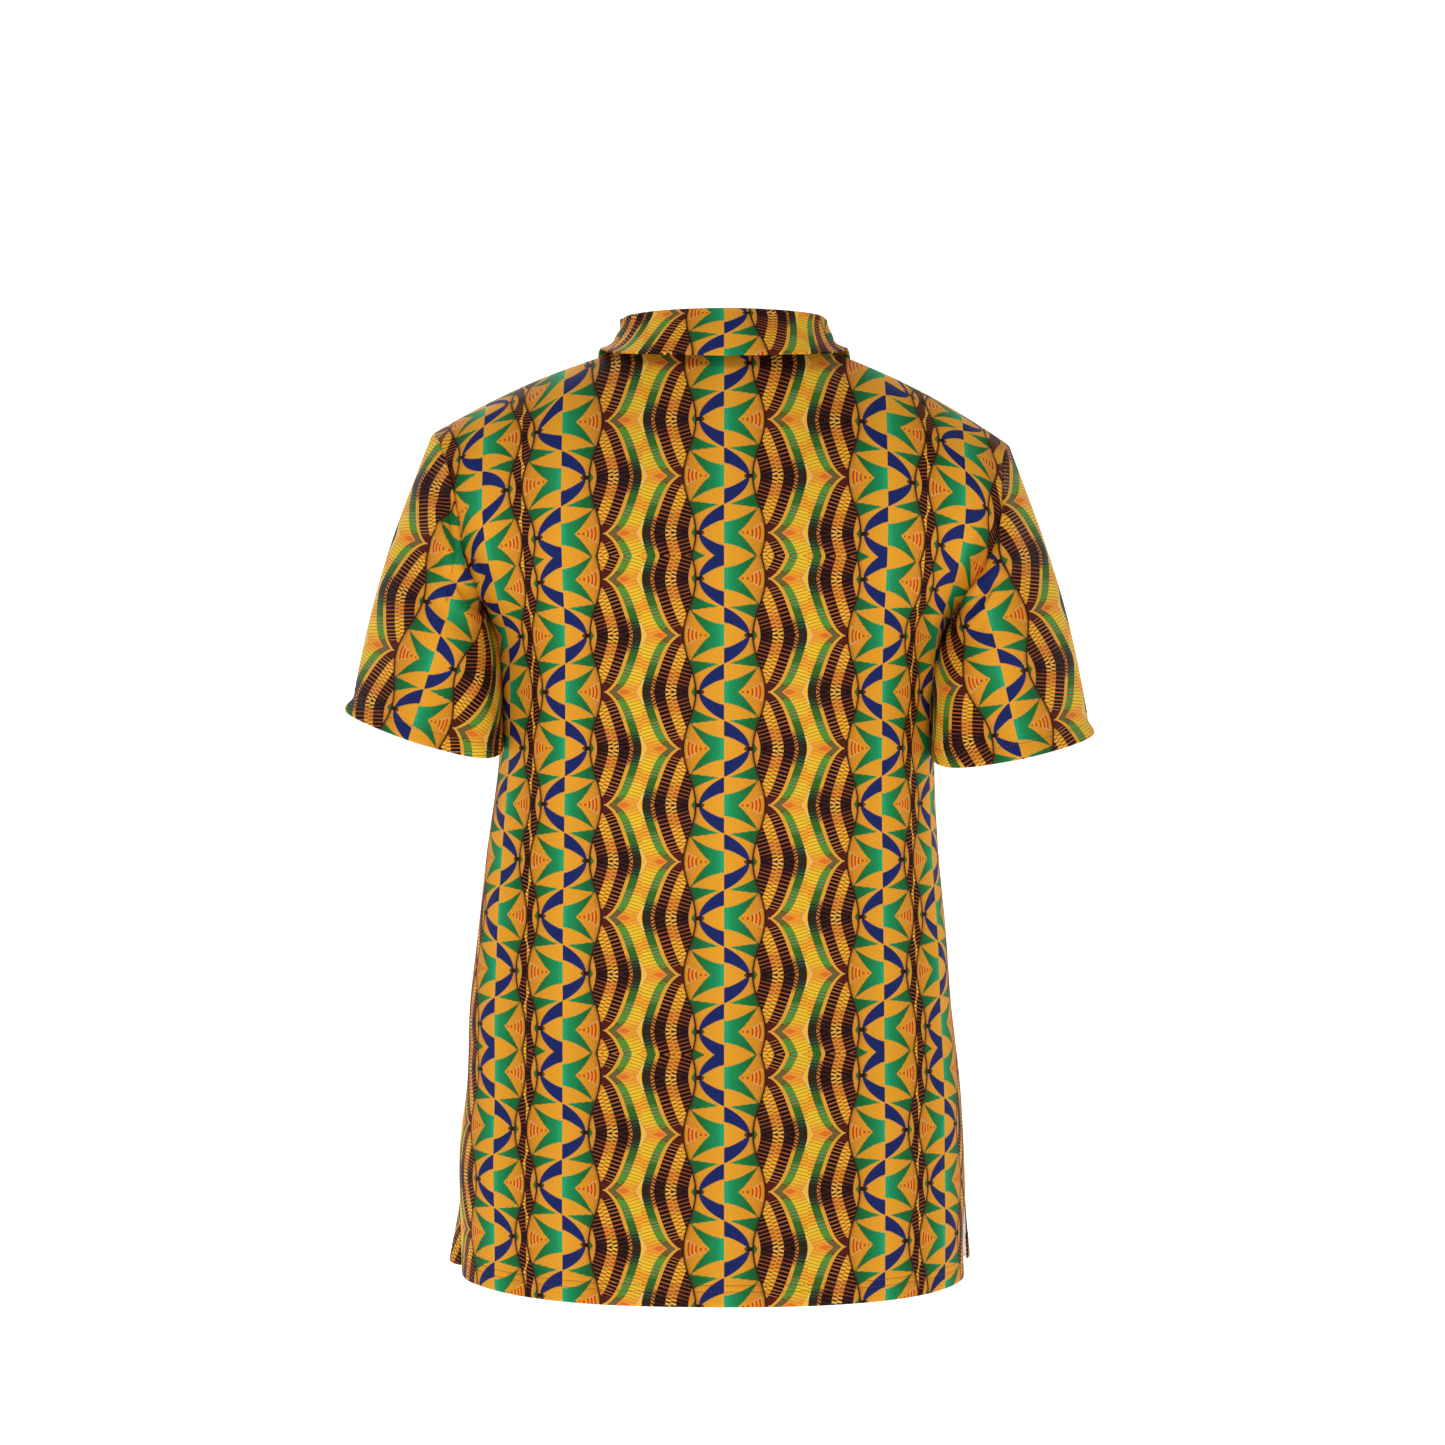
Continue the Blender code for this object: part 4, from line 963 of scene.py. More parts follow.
def leafStrip(tree, a, b, paint):
    # the colour of the strip with green stars, navy crescents and a small knot, by two folded coordinates
    aspect = printSizes["aspect"]
    snap = printSizes["snap"]
    sa = a.math("SNAP", 1 / snap) + 0.5 / snap
    sb = b.math("SNAP", 1.4 / snap) + 0.7 / snap
    past = sa - printSizes["starTip"]
    lowEdge = past * (abs(past).fit(5.6, 1.15))
    starMask = ((sa * (1 / 0.196)) ** 1.7).fit(0.1195, 0.096) - sb
    starMask = starMask.mask().least((sb - lowEdge).mask())
    # arcs spreading from the star's tip, between two pale lines
    fromTip = a - printSizes["starTip"]
    arcRise = b * aspect
    reach = (fromTip * fromTip + arcRise * arcRise).math("SQRT")
    stops = [(0.0, *printColours["amber"])]
    for index, place in enumerate(arcPlaces):
        stops.append((place, *printColours["amber" if index % 2 else "red"]))
    arcs = ramp(tree, reach * 5.0, stops)
    border = (a - 0.184).fit(0.586, 0.0336)
    arcMask = (border.most(0.007) - arcRise).mask(0.004)
    paleMask = (0.0024 - abs(arcRise - border)).mask(0.003).least((0.028 - abs(a - 0.198)).mask(0.004))
    ground = ramp(tree, a * 4.0, printRamps["ground"], True)
    leaf = blend(tree, arcMask, ground, arcs)
    leaf = blend(tree, paleMask * 0.55, leaf, paint["pale"])
    starGreen = ramp(tree, a * 4.0, printRamps["star"], True)
    leaf = blend(tree, starMask, leaf, starGreen)
    # two fine wavy lines of light down the star
    shine = (0.0035 - abs(sb.fit(60.0, 0.0).math("SINE").fit(0.003, 0.0) + sa - 0.020)).mask(0.003)
    second = (0.003 - abs(sb.fit(80.0, 2.0).math("SINE").fit(0.003, 0.0) + sa - 0.007)).mask(0.003)
    leaf = blend(tree, shine.most(second).least(starMask) * 0.6, leaf, paint["brightGreen"])
    # the small leaves on the strip's other side
    side = sa - 0.0327
    small = (side.fit(0.192, -0.253) + sb).least(side * side.fit(1.5, 0.40) + 0.256 - sb)
    leaf = blend(tree, small.mask(), leaf, starGreen)
    # the crescents between them
    high = (0.5 - b) * 4.0
    kite = (1.0 - high * high).most(0.0) ** 0.9 * 0.153 - sa
    kite = kite.least(sb - 0.251).least((sa * (1 / 0.147)) ** 1.45 * 0.108 + 0.3875 - sb)
    leaf = blend(tree, kite.mask(), leaf, paint["navy"])
    # the small knot at each crescent's end
    rest = 0.5 - sb
    knot = (0.017 - abs(sa - 0.153)).least(0.020 - rest)
    knot = knot.most((0.026 - abs(sa - 0.146)).least(0.007 - rest))
    knot = knot.most((0.012 - abs(sa - 0.139)).least(0.0045 - abs(rest - 0.017)))
    leaf = blend(tree, knot.mask(), leaf, paint["black"])
    return leaf


weave = {
    "inset": 0.0536, "bowRound": 0.00407, "bowRest": 0.0638, "bow": 0.354,   # the bands' bow
    "tipReach": 0.356, "tipPower": 8, "tip": 0.052,        # and their sharp turn at the row's end
    "split": 0.376, "splitLine": 0.0035,                   # where the yellow band's rungs shift by half
    "crowdStart": 0.138, "crowdRate": 16.7, "crowd": 1.3,  # the black rungs crowd together there
    "soft": 0.003,                                         # softness of the bands' edges
}


def wovenStrip(tree, a, b, paint):
    # the colour of the bowed bands, which turn sharply at the row's end, and where their rungs leave a gap
    aspect = printSizes["aspect"]
    soft = weave["soft"]
    drop = (0.5 - b) * aspect
    bow = (drop * drop + weave["bowRound"]).math("SQRT").fit(weave["bow"], -weave["bow"] * weave["bowRest"])
    tip = (drop * (1 / weave["tipReach"])) ** weave["tipPower"] * weave["tip"]
    radius = a + weave["inset"] + bow + tip
    weft = a * printSizes["slant"] + b * aspect
    fan, yellowStart, blackStart, amberStart, greenStart, middleStart = printSizes["bands"]
    inYellow = (radius - yellowStart).mask(soft)
    inBlack = (radius - blackStart).mask(soft)
    inAmber = (radius - amberStart).mask(soft)
    inGreen = (radius - greenStart).mask(soft)
    inMiddle = (radius - middleStart).mask(soft)
    crowded = ((weft - weave["crowdStart"]) * -weave["crowdRate"]).math("EXPONENT") * weave["crowd"]
    brownTurns, blackTurns, greenTurns, middleTurns = printSizes["rungs"]
    phase = weft * brownTurns + (radius - weave["split"]).mask(0.001) * 0.5
    phase = phase + inBlack * (weft * blackTurns - crowded - phase)
    phase = phase + inGreen * (weft * greenTurns - phase)
    phase = phase + inMiddle * (weft * middleTurns + (a - 0.499).mask(0.001) * 0.5 - phase)
    bias = (inYellow - inBlack + inMiddle + inGreen * 0.8).fit(0.78, -0.66)
    betweenRungs = ((phase * (2 * math.pi)).math("SINE") + bias).mask(0.45)
    around = b * 2.0

    def band(name):
        gap = ramp(tree, around, printRamps[name + "Gap"], True)
        return blend(tree, betweenRungs, ramp(tree, around, printRamps[name + "Rung"], True), gap)

    woven = blend(tree, inYellow, band("brown"), band("yellow"))
    seam = (weave["splitLine"] - abs(radius - weave["split"])).mask(soft) * 0.8
    woven = blend(tree, seam, woven, paint["seam"])
    woven = blend(tree, inBlack, woven, band("black"))
    dashes = ((weft * 3.0 + a * 1.1) * (2 * math.pi * 14)).math("SINE").mask(0.9)
    dotted = blend(tree, dashes, paint["dashDark"], paint["dashLight"])
    lines = (0.0022 - abs(radius - (amberStart + 0.011))).mask(soft) * 0.6
    solid = blend(tree, lines, paint["strip"], paint["stripLine"])
    woven = blend(tree, inAmber, woven, blend(tree, (b - 0.36).mask(0.06), solid, dotted))
    woven = blend(tree, inGreen, woven, band("green"))
    woven = blend(tree, inMiddle, woven, band("middle"))
    plain = (a - 0.47 - b * (aspect * 0.59)).mask().least((0.075 - b * aspect).mask())
    woven = blend(tree, plain, woven, paint["plain"])
    # maroon wedge at the row's end, with a pale spot, the orange diamond and the pale chevrons
    pinch = (0.076 - b).mask(0.006).least((amberStart - radius).mask(soft))
    woven = blend(tree, pinch, woven, paint["maroon"])
    woven = blend(tree, (0.0045 - (abs(a - 0.266) + b * aspect)).mask(), woven, paint["pale"])
    diamond = (0.0435 - abs(a - 0.3915)) * 0.45 - b * aspect
    woven = blend(tree, diamond.mask(), woven, paint["orange"])
    chevron = (0.0027 - abs(a - 0.47 - b * (aspect * 0.59))).mask().least((0.075 - b * aspect).mask())
    back = (0.0027 - abs(0.53 - a - drop * 0.59)).mask().least((0.075 - drop).mask())
    woven = blend(tree, chevron.most(back), woven, paint["pale"])
    # plain gold before the fan of bands, with small green leaves in its corners
    bits = ((0.036 - (a - 0.163)) - drop * 0.62).mask()
    beforeFan = (fan - radius).mask(soft)
    woven = blend(tree, beforeFan, woven, paint["fan"])
    woven = blend(tree, bits.least(beforeFan), woven, paint["fanLeaf"])
    return woven, betweenRungs


def makePrint():
    tree, entry, leave = newGroup(
        "stripPrint", (("Across", "NodeSocketFloat"), ("Up", "NodeSocketFloat")),
        (("Colour", "NodeSocketColor"), ("Thread", "NodeSocketFloat")))
    paint = {name: tone(*colour) for name, colour in printColours.items()}
    sizes = printSizes
    narrow = sizes["narrow"]
    whole = 1 + narrow
    across = Field(tree, entry.outputs[0]) * (1 / sizes["repeat"])
    up = Field(tree, entry.outputs[1])
    centred = (across - whole).math("WRAP", whole, -whole)
    fold = abs(centred)
    beside = fold - narrow
    a = (0.5 - abs(fold - (0.5 + narrow))).most(beside * -1.0)
    turn = (centred * beside * (fold - (0.5 + narrow))).math("SIGN")
    star = (up.math("PINGPONG", sizes["mirrorSpan"]) - sizes["mirror"]).fit(1 / sizes["rise"], 0.0)
    star = star.math("PINGPONG", 0.5)
    b = 0.25 - turn * (star - 0.25)
    leaf = leafStrip(tree, a, b, paint)
    woven, betweenRungs = wovenStrip(tree, a, b, paint)

    # the leaf strip's wavy edge with its dark outline and soft shadow
    edge = (b * (2 * math.pi)).math("COSINE").fit(sizes["edgeWave"], sizes["edge"])
    inside = edge - a
    colour = blend(tree, inside.mask(0.003), woven, leaf)
    narrowness, strength = sizes["shade"]
    shade = (1.0 - abs(inside) * narrowness).most(0.0)
    colour = blend(tree, shade * shade * strength, colour, paint["brown"])
    narrowness, strength = sizes["wideShade"]
    shade = (1.0 - inside * narrowness).most(0.0) * inside.mask(0.003)
    colour = blend(tree, shade * shade * strength, colour, paint["shadow"])
    colour = blend(tree, (sizes["outline"] - abs(inside)).mask(0.003), colour, paint["brown"])
    tree.links.new(colour, leave.inputs[0])
    tree.links.new(betweenRungs.socket, leave.inputs[1])
    return tree


fabric = {
    "wale": 0.0011, "course": 0.0009, "bumpDepth": 0.0003,      # the knit's ribs and rows
    "speckleScale": 900.0, "speckleDetail": 2.0, "speckle": 0.5,
    "printed": {"Roughness": 0.62, "Sheen Weight": 0.01, "Sheen Roughness": 0.4, "Specular IOR Level": 0.08},
    "printedBump": 0.18,
    "reverse": {"Roughness": 0.8},
    "reverseBump": 0.3, "reverseDark": (226, 218, 204), "reverseLight": (243, 238, 228),
}


def makeKnit():
    # fine ribs of the knit: a height for the bump and a light speckle
    tree, entry, leave = newGroup(
        "knit", (("Across", "NodeSocketFloat"), ("Up", "NodeSocketFloat")),
        (("Height", "NodeSocketFloat"), ("Speckle", "NodeSocketFloat")))
    across = Field(tree, entry.outputs[0])
    up = Field(tree, entry.outputs[1])
    wale = (across * (2 * math.pi / fabric["wale"])).math("SINE")
    course = (up * (2 * math.pi / fabric["course"])).math("SINE")
    height = (wale * course).fit(0.5, 0.5)
    join = tree.nodes.new("ShaderNodeCombineXYZ")
    tree.links.new(across.socket, join.inputs[0])
    tree.links.new(up.socket, join.inputs[1])
    grain = tree.nodes.new("ShaderNodeTexNoise")
    grain.inputs["Scale"].default_value = fabric["speckleScale"]
    grain.inputs["Detail"].default_value = fabric["speckleDetail"]
    tree.links.new(join.outputs[0], grain.inputs["Vector"])
    tree.links.new(height.socket, leave.inputs[0])
    tree.links.new(grain.outputs[0], leave.inputs[1])
    return tree


def startMaterial(name, values):
    material = bpy.data.materials.new(name)
    material.use_nodes = True
    shader = material.node_tree.nodes["Principled BSDF"]
    for label, value in values.items():
        shader.inputs[label].default_value = value
    return material, material.node_tree, shader


def placeGroup(tree, group):
    # a group that reads where it is on the flat cloth
    uv = tree.nodes.new("ShaderNodeUVMap")
    uv.uv_map = "cloth"
    split = tree.nodes.new("ShaderNodeSeparateXYZ")
    tree.links.new(uv.outputs[0], split.inputs[0])
    node = tree.nodes.new("ShaderNodeGroup")
    node.node_tree = group
    for place in (0, 1):
        tree.links.new(split.outputs[place], node.inputs[place])
    return node


def addBump(tree, shader, knit, strength):
    bump = tree.nodes.new("ShaderNodeBump")
    bump.inputs["Strength"].default_value = strength
    bump.inputs["Distance"].default_value = fabric["bumpDepth"]
    tree.links.new(knit.outputs[0], bump.inputs["Height"])
    tree.links.new(bump.outputs[0], shader.inputs["Normal"])


def makePrintedCloth(printGroup, knitGroup):
    material, tree, shader = startMaterial("printedKnit", fabric["printed"])
    design = placeGroup(tree, printGroup)
    knit = placeGroup(tree, knitGroup)
    speckle = Field(tree, knit.outputs[1]).fit(fabric["speckle"], 1.0 - 0.5 * fabric["speckle"])
    bright = tree.nodes.new("ShaderNodeHueSaturation")
    tree.links.new(design.outputs[0], bright.inputs["Color"])
    tree.links.new(speckle.socket, bright.inputs["Value"])
    tree.links.new(bright.outputs[0], shader.inputs["Base Color"])
    addBump(tree, shader, knit, fabric["printedBump"])
    return material


def makePlainCloth(knitGroup):
    # the cloth's unprinted reverse side
    material, tree, shader = startMaterial("reverseOfCloth", fabric["reverse"])
    knit = placeGroup(tree, knitGroup)
    shades = tone(*fabric["reverseDark"]), tone(*fabric["reverseLight"])
    tree.links.new(blend(tree, Field(tree, knit.outputs[1]), *shades), shader.inputs["Base Color"])
    addBump(tree, shader, knit, fabric["reverseBump"])
    return material


# dark tone, light tone, roughness and scale of the plain speckled finishes
finishes = {
    "thread": ((70, 46, 20), (116, 78, 34), 0.7, 900.0),
    "buttonHorn": ((26, 18, 14), (52, 38, 30), 0.3, 260.0),
    "palePaper": ((246, 246, 246), (252, 252, 252), 0.9, 3.0),
}


def makeSpeckled(name):
    dark, light, roughness, scale = finishes[name]
    material, tree, shader = startMaterial(name, {"Roughness": roughness})
    place = tree.nodes.new("ShaderNodeTexCoord")
    grain = tree.nodes.new("ShaderNodeTexNoise")
    grain.inputs["Scale"].default_value = scale
    grain.inputs["Detail"].default_value = 3.0
    tree.links.new(place.outputs["Object"], grain.inputs["Vector"])
    colour = blend(tree, Field(tree, grain.outputs[0]), tone(*dark), tone(*light))
    tree.links.new(colour, shader.inputs["Base Color"])
    return material


# stitches laid along lines on the cloth

stitch = {"pitch": 0.0032, "length": 0.0025, "width": 0.00062, "height": 0.00040, "lift": 0.00005}


def makeStitchTree(material):
    tree = bpy.data.node_groups.new("stitches", "GeometryNodeTree")
    tree.interface.new_socket("Geometry", in_out="INPUT", socket_type="NodeSocketGeometry")
    for label in ("Pitch", "Length", "Width", "Height"):
        tree.interface.new_socket(label, in_out="INPUT", socket_type="NodeSocketFloat")
    tree.interface.new_socket("Geometry", in_out="OUTPUT", socket_type="NodeSocketGeometry")
    entry = tree.nodes.new("NodeGroupInput")
    leave = tree.nodes.new("NodeGroupOutput")
    toCurve = tree.nodes.new("GeometryNodeMeshToCurve")
    spaced = tree.nodes.new("GeometryNodeResampleCurve")
    spaced.mode = "LENGTH"
    tangent = tree.nodes.new("GeometryNodeInputTangent")
    aim = tree.nodes.new("FunctionNodeAlignRotationToVector")
    aim.axis = "X"
    ball = tree.nodes.new("GeometryNodeMeshUVSphere")
    for label, value in (("Segments", 8), ("Rings", 6), ("Radius", 0.5)):
        ball.inputs[label].default_value = value
    size = tree.nodes.new("ShaderNodeCombineXYZ")
    shape = tree.nodes.new("GeometryNodeTransform")
    place = tree.nodes.new("GeometryNodeInstanceOnPoints")
    real = tree.nodes.new("GeometryNodeRealizeInstances")
    smooth = tree.nodes.new("GeometryNodeSetShadeSmooth")
    coat = tree.nodes.new("GeometryNodeSetMaterial")
    coat.inputs["Material"].default_value = material
    steps = (
        (entry.outputs["Geometry"], toCurve.inputs[0]), (toCurve.outputs[0], spaced.inputs["Curve"]),
        (entry.outputs["Pitch"], spaced.inputs["Length"]), (tangent.outputs[0], aim.inputs["Vector"]),
        (entry.outputs["Length"], size.inputs[0]), (entry.outputs["Width"], size.inputs[1]),
        (entry.outputs["Height"], size.inputs[2]), (ball.outputs["Mesh"], shape.inputs["Geometry"]),
        (size.outputs[0], shape.inputs["Scale"]), (spaced.outputs[0], place.inputs["Points"]),
        (shape.outputs[0], place.inputs["Instance"]), (aim.outputs[0], place.inputs["Rotation"]),
        (place.outputs[0], real.inputs[0]), (real.outputs[0], smooth.inputs[0]),
        (smooth.outputs[0], coat.inputs["Geometry"]), (coat.outputs[0], leave.inputs[0]))
    for start, end in steps:
        tree.links.new(start, end)
    return tree


def applied(piece):
    # the piece's mesh with its modifiers worked in
    graph = bpy.context.evaluated_depsgraph_get()
    made = bpy.data.meshes.new_from_object(piece.evaluated_get(graph))
    piece.modifiers.clear()
    return made


def makeStitches(name, lines, tree):
    points = [tuple(point) for line in lines for point in line]
    edges = []
    start = 0
    for line in lines:
        edges += [(start + index, start + index + 1) for index in range(len(line) - 1)]
        start += len(line)
    data = bpy.data.meshes.new(name)
    data.from_pydata(points, edges, [])
    piece = addObject(name, data)
    grow = piece.modifiers.new("stitches", "NODES")
    grow.node_group = tree
    for item in tree.interface.items_tree:
        if item.item_type == "SOCKET" and item.in_out == "INPUT" and item.name.lower() in stitch:
            grow[item.identifier] = stitch[item.name.lower()]
    piece.data = applied(piece)
    return piece


def edgeDip(distance):
    return -cloth["seamDip"] * np.exp(-(distance / cloth["seamDipWidth"]) ** 2)


def seamTaper(distance):
    # the wall thins towards a sewn edge, so that its inner skin stays inside where two pieces meet
    return cloth["seamShare"] + (1 - cloth["seamShare"]) * ease(distance / cloth["seamTaper"])


def skins(points, normals, fromHem, fromSeam):
    # outer and inner skin over the plain form, with the turned hem and the dips at the seams
    lift, thickness = hemForm(fromHem)
    outer = points + normals * (clothLift(points) + (lift + edgeDip(fromSeam)))[..., None]
    return outer, outer - normals * (thickness * seamTaper(fromSeam))[..., None]


def panelSeams(grid, ventRow):
    # distance of every point from the nearest sewn edge
    along = alongArc(grid, 1)
    sides = np.minimum(along, along[:, -1:] - along)
    sides[:ventRow] = 1.0
    rows = alongArc(grid, 0)
    return np.minimum(sides, rows[-1:] - rows)


def makePanel(name, grid, normals, underarmRow, ventRow, direction, gaps, materials, keep=None):
    places = clothPlaces(grid, underarmRow, direction)
    fromHem = alongArc(grid, 0)
    seam = grid.copy()
    half = 0.5 * cloth["seamGap"]
    for edge, beside in ((0, 1), (-1, -2)):
        inward = unit(grid[:underarmRow + 1, beside] - grid[:underarmRow + 1, edge])
        seam[:underarmRow + 1, edge] += half * inward
    outside = panel["outerColumns"]
    for columns in (slice(0, outside + 1), slice(-outside - 1, None)):
        seam[-1, columns] += half * unit(grid[-2, columns] - grid[-1, columns])
    rise = len(grid) - 1 - underarmRow
    for edge, side in ((0, "right"), (-1, "left")):
        apart = gaps[side]
        own = apart[:rise + 1] if direction < 0 else np.concatenate((apart[:1], apart[rise:][::-1]))
        seam[underarmRow:, edge] -= own
    fromSeam = panelSeams(grid, ventRow)
    outer, inner = skins(seam, normals, fromHem, fromSeam)
    return shell(name, outer, inner, places, materials, keep=keep), outer, fromHem


def linesAtHeight(outer, fromHem, heights, normals, columns):
    # lines on the outer skin at even distances from the hem, for the stitches
    lines = []
    for height in heights:
        line = []
        for column in columns:
            distance = fromHem[:, column]
            row = int(np.searchsorted(distance, height))
            share = (height - distance[row - 1]) / (distance[row] - distance[row - 1])
            point = outer[row - 1, column] + share * (outer[row, column] - outer[row - 1, column])
            line.append(point + normals[row, column] * stitch["lift"])
        lines.append(line)
    return lines


button = {
    # radius and height round the profile, from the middle of the back to the middle of the face
    "profile": [(0.0, 0.0), (0.0047, 0.0), (0.0053, 0.0003), (0.0056, 0.0008), (0.0056, 0.0018),
                (0.0053, 0.0024), (0.0048, 0.0026), (0.0044, 0.0025), (0.0040, 0.0021), (0.0036, 0.0019),
                (0.0, 0.0019)],
    "steps": 48, "holes": 4, "holeRadius": 0.0008, "holeReach": 0.0014, "sharpAngle": 50,
    # two strands of thread through the holes: how far apart, how high, and their size
    "strandReach": 0.00099, "strandHeight": 0.00215, "strand": (0.0006, 0.0032, 0.0007),
}


def turnedBody():
    mesh = bmesh.new()
    steps = button["steps"]
    rings = []
    for radius, height in button["profile"]:
        turns = [2 * math.pi * step / steps for step in range(1 if radius == 0 else steps)]
        rings.append([mesh.verts.new((radius * math.cos(turn), radius * math.sin(turn), height))
                      for turn in turns])
    for low, high in zip(rings, rings[1:]):
        for step in range(steps):
            after = (step + 1) % steps
            corners = [low[step % len(low)], low[after % len(low)],
                       high[after % len(high)], high[step % len(high)]]
            mesh.faces.new(list(dict.fromkeys(corners)))
    bmesh.ops.recalc_face_normals(mesh, faces=mesh.faces)
    return mesh


def holePegs():
    mesh = bmesh.new()
    radius, reach = button["holeRadius"], button["holeReach"]
    for hole in range(button["holes"]):
        angle = math.radians(45 + 90 * hole)
        peg = bmesh.ops.create_cone(mesh, cap_ends=True, segments=16, radius1=radius, radius2=radius,
                                    depth=0.01)["verts"]
        bmesh.ops.translate(mesh, verts=peg, vec=(reach * math.cos(angle), reach * math.sin(angle), 0.0))
    return mesh


def fromBmesh(name, mesh):
    data = bpy.data.meshes.new(name)
    mesh.to_mesh(data)
    mesh.free()
    return addObject(name, data)


def buttonMesh(name, place, normal, materials):
    piece = fromBmesh(name, turnedBody())
    cutter = fromBmesh(name + "Holes", holePegs())
    cut = piece.modifiers.new("holes", "BOOLEAN")
    cut.object = cutter
    cut.solver = "EXACT"
    made = applied(piece)
    bpy.data.objects.remove(cutter)
    whole = bmesh.new()
    whole.from_mesh(made)
    for face in whole.faces:
        face.material_index = 0
    width, length, thick = button["strand"]
    for side in (-1, 1):
        strand = bmesh.ops.create_uvsphere(whole, u_segments=10, v_segments=8, radius=0.5)
        for vertex in strand["verts"]:
            x, y, z = vertex.co
            vertex.co = (side * button["strandReach"] + x * width, y * length,
                         button["strandHeight"] + z * thick)
        for face in {face for vertex in strand["verts"] for face in vertex.link_faces}:
            face.material_index = 1
    whole.transform(Vector((0.0, 0.0, 1.0)).rotation_difference(Vector(normal)).to_matrix().to_4x4())
    bmesh.ops.translate(whole, verts=whole.verts, vec=Vector(place))
    whole.to_mesh(made)
    whole.free()
    made.materials.clear()
    for material in materials:
        made.materials.append(material)
    made.shade_smooth()
    made.set_sharp_from_angle(angle=math.radians(button["sharpAngle"]))
    piece.data = made
    return piece


# cut size of each cloth piece before sewing: width, length, flat area and how it is held
cuts = {
    "back": (0.520, 0.790, 0.3700, "hung"), "front": (0.530, 0.780, 0.3660, "hung"),
    "sleeve_left": (0.440, 0.250, 0.0720, "hung"), "sleeve_right": (0.440, 0.250, 0.0720, "hung"),
    "collar": (0.460, 0.086, 0.0392, "folded"),
    "placket_over": (0.034, 0.206, 0.0069, "laid"), "placket_under": (0.034, 0.206, 0.0069, "laid"),
}


pieceEndings = {"shirt_cloth": "_cloth", "button": "_horn"}


def finishPiece(piece, node, slot="shirt_cloth"):
    if node:
        piece.name = node + pieceEndings[slot]
    skin = 0.5 * sum(face.area for face in piece.data.polygons)
    print("made", piece.name, "triangles", len(piece.data.loop_triangles), "skin", round(skin, 4))
    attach(piece, "root")
    if node:
        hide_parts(node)
    node in cuts


room = {
    "floorZ": -0.95, "near": 6.5, "wallStart": -5.0, "bend": 1.5, "bendSteps": 12, "top": 8.5,
    "halfWidth": 11.0, "glow": 0.62, "sky": 0.38, "lampTarget": (0.0, 0.0, -0.35),
}


def makeRoom():
    floor, start, bend = room["floorZ"], room["wallStart"], room["bend"]
    profile = [(room["near"], floor), (start, floor)]
    for step in range(1, room["bendSteps"] + 1):
        turn = 0.5 * math.pi * step / room["bendSteps"]
        profile.append((start - bend * math.sin(turn), floor + bend * (1 - math.cos(turn))))
    profile.append((start - bend, room["top"]))
    points = []
    faces = []
    for index, (y, z) in enumerate(profile):
        points += [(-room["halfWidth"], y, z), (room["halfWidth"], y, z)]
        if index:
            last = 2 * index
            faces.append((last - 2, last - 1, last + 1, last))
    data = bpy.data.meshes.new("paleRoom")
    data.from_pydata(points, [], faces)
    data.shade_smooth()
    backdrop = addObject("paleRoom", data)
    material = makeSpeckled("palePaper")
    shader = material.node_tree.nodes["Principled BSDF"]
    shader.inputs["Emission Color"].default_value = (1.0, 1.0, 1.0, 1.0)
    shader.inputs["Emission Strength"].default_value = room["glow"]
    data.materials.append(material)


lamps = [
    # name, place, size, power
    ("keyLamp", (1.3, 2.8, 2.0), 1.0, 33.0),
    ("fillLamp", (-1.8, 2.6, 0.3), 1.8, 8.0),
    ("frontLamp", (0.6, -2.0, 1.6), 1.6, 18.0),
]


def makeLamps():
    for name, place, size, power in lamps:
        data = bpy.data.lights.new(name, "AREA")
        data.energy = power
        data.size = size
        lamp = addObject(name, data)
        lamp.location = place
        aim = Vector(room["lampTarget"]) - Vector(place)
        lamp.rotation_euler = aim.to_track_quat("-Z", "Y").to_euler()
    world = bpy.data.worlds.new("paleSky")
    world.use_nodes = True
    sky = world.node_tree.nodes["Background"]
    sky.inputs[0].default_value = (1.0, 1.0, 1.0, 1.0)
    sky.inputs[1].default_value = room["sky"]
    bpy.context.scene.world = world


def makeSleeve(side, torso, materials, lines):
    # both sides of the armhole seam share one normal; returns how far the seam's edges lie apart
    back, front, backNormals, frontNormals, underarmRow, _ = torso
    edge = -1 if side == "left" else 0
    rise = panel["upperRows"]
    grid = sleeveGrid(side, armholeLoop(back, front, edge, underarmRow))
    normals = gridNormals(grid, closed=True)
    if (normals[len(grid) // 4, rise][0] > 0) != (side == "left"):
        normals = -normals
    up = backNormals[underarmRow:, edge]
    down = frontNormals[underarmRow + 1:-1, edge][::-1]
    shared = unit(np.concatenate((up, down)) + normals[0])
    normals[0] = shared
    tangent = np.roll(grid[0], -1, axis=0) - np.roll(grid[0], 1, axis=0)
    apart = unit(np.cross(shared, tangent)) * 0.5 * cloth["seamGap"]
    apart *= np.sign(np.sum(apart * (grid[1] - grid[0]), axis=1, keepdims=True))
    backNormals[underarmRow:, edge] = shared[:rise + 1]
    frontNormals[underarmRow:, edge][1:-1] = shared[rise + 1:][::-1]
    frontNormals[underarmRow, edge] = shared[0]
    frontNormals[-1, edge] = shared[rise]
    places = sleevePlaces(side, grid)
    grid[0] += apart
    fromSeam = alongArc(grid, 0)
    fromHem = fromSeam[-1:] - fromSeam
    outer, inner = skins(grid, normals, fromHem, fromSeam)
    finishPiece(shell("sleeve_" + side, outer, inner, places, materials, closed=True), "sleeve_" + side)
    ring = list(range(outer.shape[1])) + [0]
    heights = (sleeve["stitchRow"],)
    lines["sleeves"] += linesAtHeight(outer[::-1], fromHem[::-1], heights, normals[::-1], ring)
    return apart


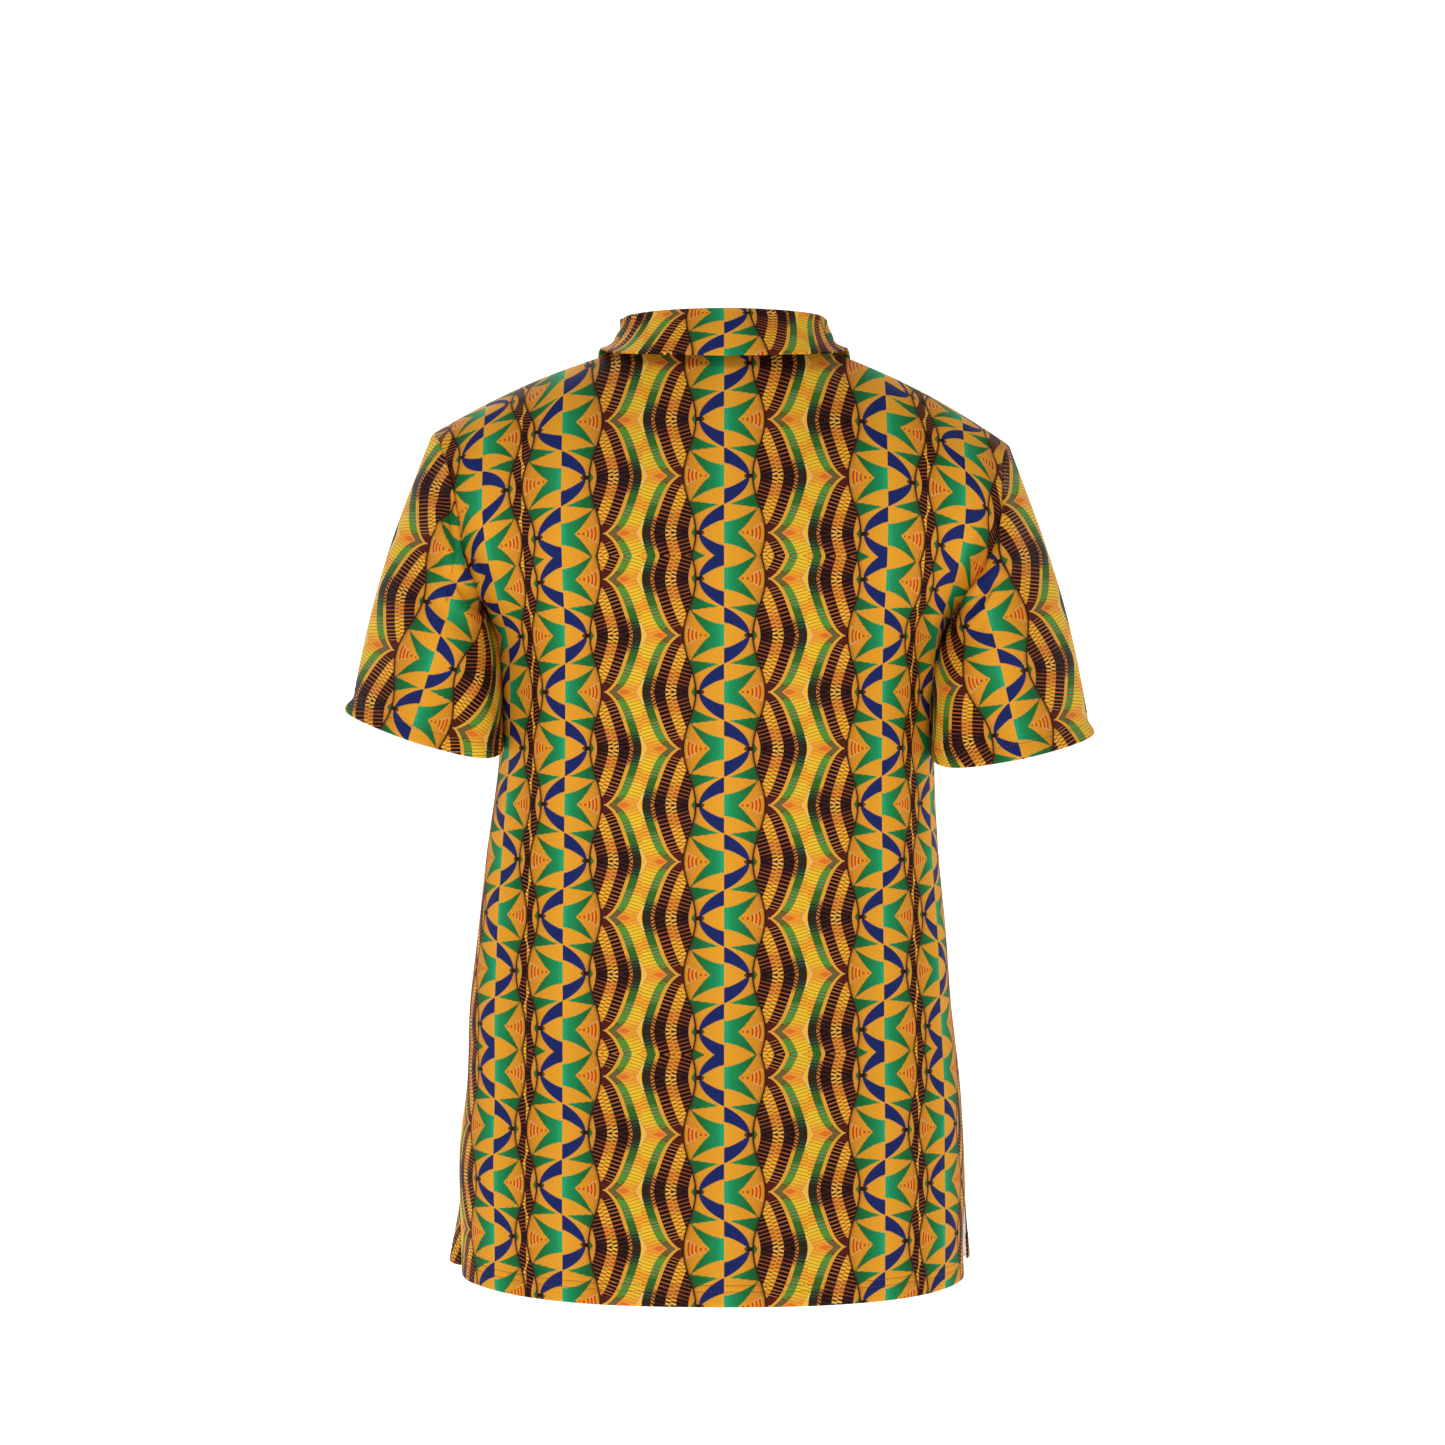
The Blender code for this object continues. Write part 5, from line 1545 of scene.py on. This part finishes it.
def makePanels(torso, gaps, materials, lines):
    back, front, backNormals, frontNormals, underarmRow, ventRow = torso
    middle = front.shape[1] // 2
    window = range(middle - panel["windowColumns"], middle + panel["windowColumns"])

    def outsideWindow(row, column):
        return row < underarmRow or column not in window

    for name, grid, normals, direction, keep in (("back", back, backNormals, -1, None),
                                                 ("front", front, frontNormals, 1, outsideWindow)):
        piece, outer, fromHem = makePanel(name, grid, normals, underarmRow, ventRow, direction, gaps,
                                          materials, keep)
        finishPiece(piece, name)
        columns = range(1, grid.shape[1] - 1)
        lines["body"] += linesAtHeight(outer, fromHem, cloth["hemRows"], normals, columns)


def makeCollar(torso, printed):
    back, front, backNormals, frontNormals = torso[:4]
    grid, normals = collarGrid(back, front, backNormals, frontNormals, bodySurface(back, front))
    fromEdge = alongArc(grid[::-1], 0)[::-1]
    fromEnd = alongArc(grid, 1)
    middleRow = collar["middleRow"]
    fromMiddle = fromEnd[middleRow] - fromEnd[middleRow, grid.shape[1] // 2]
    places = np.stack((np.broadcast_to(-fromMiddle, fromEdge.shape),
                       fromEdge + collar["printDrop"] + printSizes["mirror"]), -1)
    rim = np.minimum(fromEdge, np.minimum(fromEnd, fromEnd[:, -1:] - fromEnd))
    lift = dip(rim, collar["stitchInset"], cloth["stitchDip"], cloth["stitchDipWidth"])
    outer = grid + normals * (0.5 * collar["cloth"] + lift)[..., None]
    inner = grid - normals * (0.5 * collar["cloth"])
    finishPiece(shell("collar", outer, inner, places, [printed, printed]), "collar")


def makePlacket(printed, lines):
    # returns the middle line of the upper strip's face, for the buttons
    half = placket["halfWidth"]
    faces = {}
    for name, (start, depth) in placket["strips"].items():
        grid = frontStrip(start)
        normals = gridNormals(grid)
        near = grid + normals * depth
        far = near + normals * placket["cloth"]
        up = alongArc(grid, 0) - start
        across = np.broadcast_to(np.linspace(-half, half, grid.shape[1]), up.shape)
        finishPiece(shell(name, far, near, np.stack((across, up), -1), [printed, printed]), name)
        faces[name] = far, normals
    face, normals = faces["placket_over"]
    for column in (placket["stitchColumn"], -1 - placket["stitchColumn"]):
        lines["placket"].append(face[:, column] + normals[:, column] * stitch["lift"])
    return face[:, face.shape[1] // 2]


def makeButtons(centre, materials):
    for index, height in enumerate(placket["buttonHeights"]):
        row = int(np.searchsorted(centre[:, 2], height))
        run = centre[row] - centre[row - 1]
        place = centre[row - 1] + run * (height - centre[row - 1][2]) / run[2]
        normal = unit(np.cross((1.0, 0.0, 0.0), run))
        name = "button_" + str(index + 1)
        finishPiece(buttonMesh(name, place + normal * cloth["seamGap"], normal, materials), name, "button")


def main():
    makeCamera()
    makeLamps()
    makeRoom()
    print("camera, lamps and room")
    knit = makeKnit()
    printed = makePrintedCloth(makePrint(), knit)
    reverse = makePlainCloth(knit)
    thread = makeSpeckled("thread")
    horn = makeSpeckled("buttonHorn")
    print("materials")
    torso = buildPanelGrids()
    lines = {"body": [], "sleeves": [], "placket": []}
    gaps = {}
    for side in ("left", "right"):
        gaps[side] = makeSleeve(side, torso, [printed, reverse], lines)
    print("sleeves")
    makePanels(torso, gaps, [printed, reverse], lines)
    print("panels")
    makeCollar(torso, printed)
    print("collar")
    makeButtons(makePlacket(printed, lines), [horn, thread])
    print("placket and buttons")
    tree = makeStitchTree(thread)
    for name, group in lines.items():
        finishPiece(makeStitches(name + "Stitches", group, tree), None)
    print("stitches")


main()
bpy.context.view_layer.update()
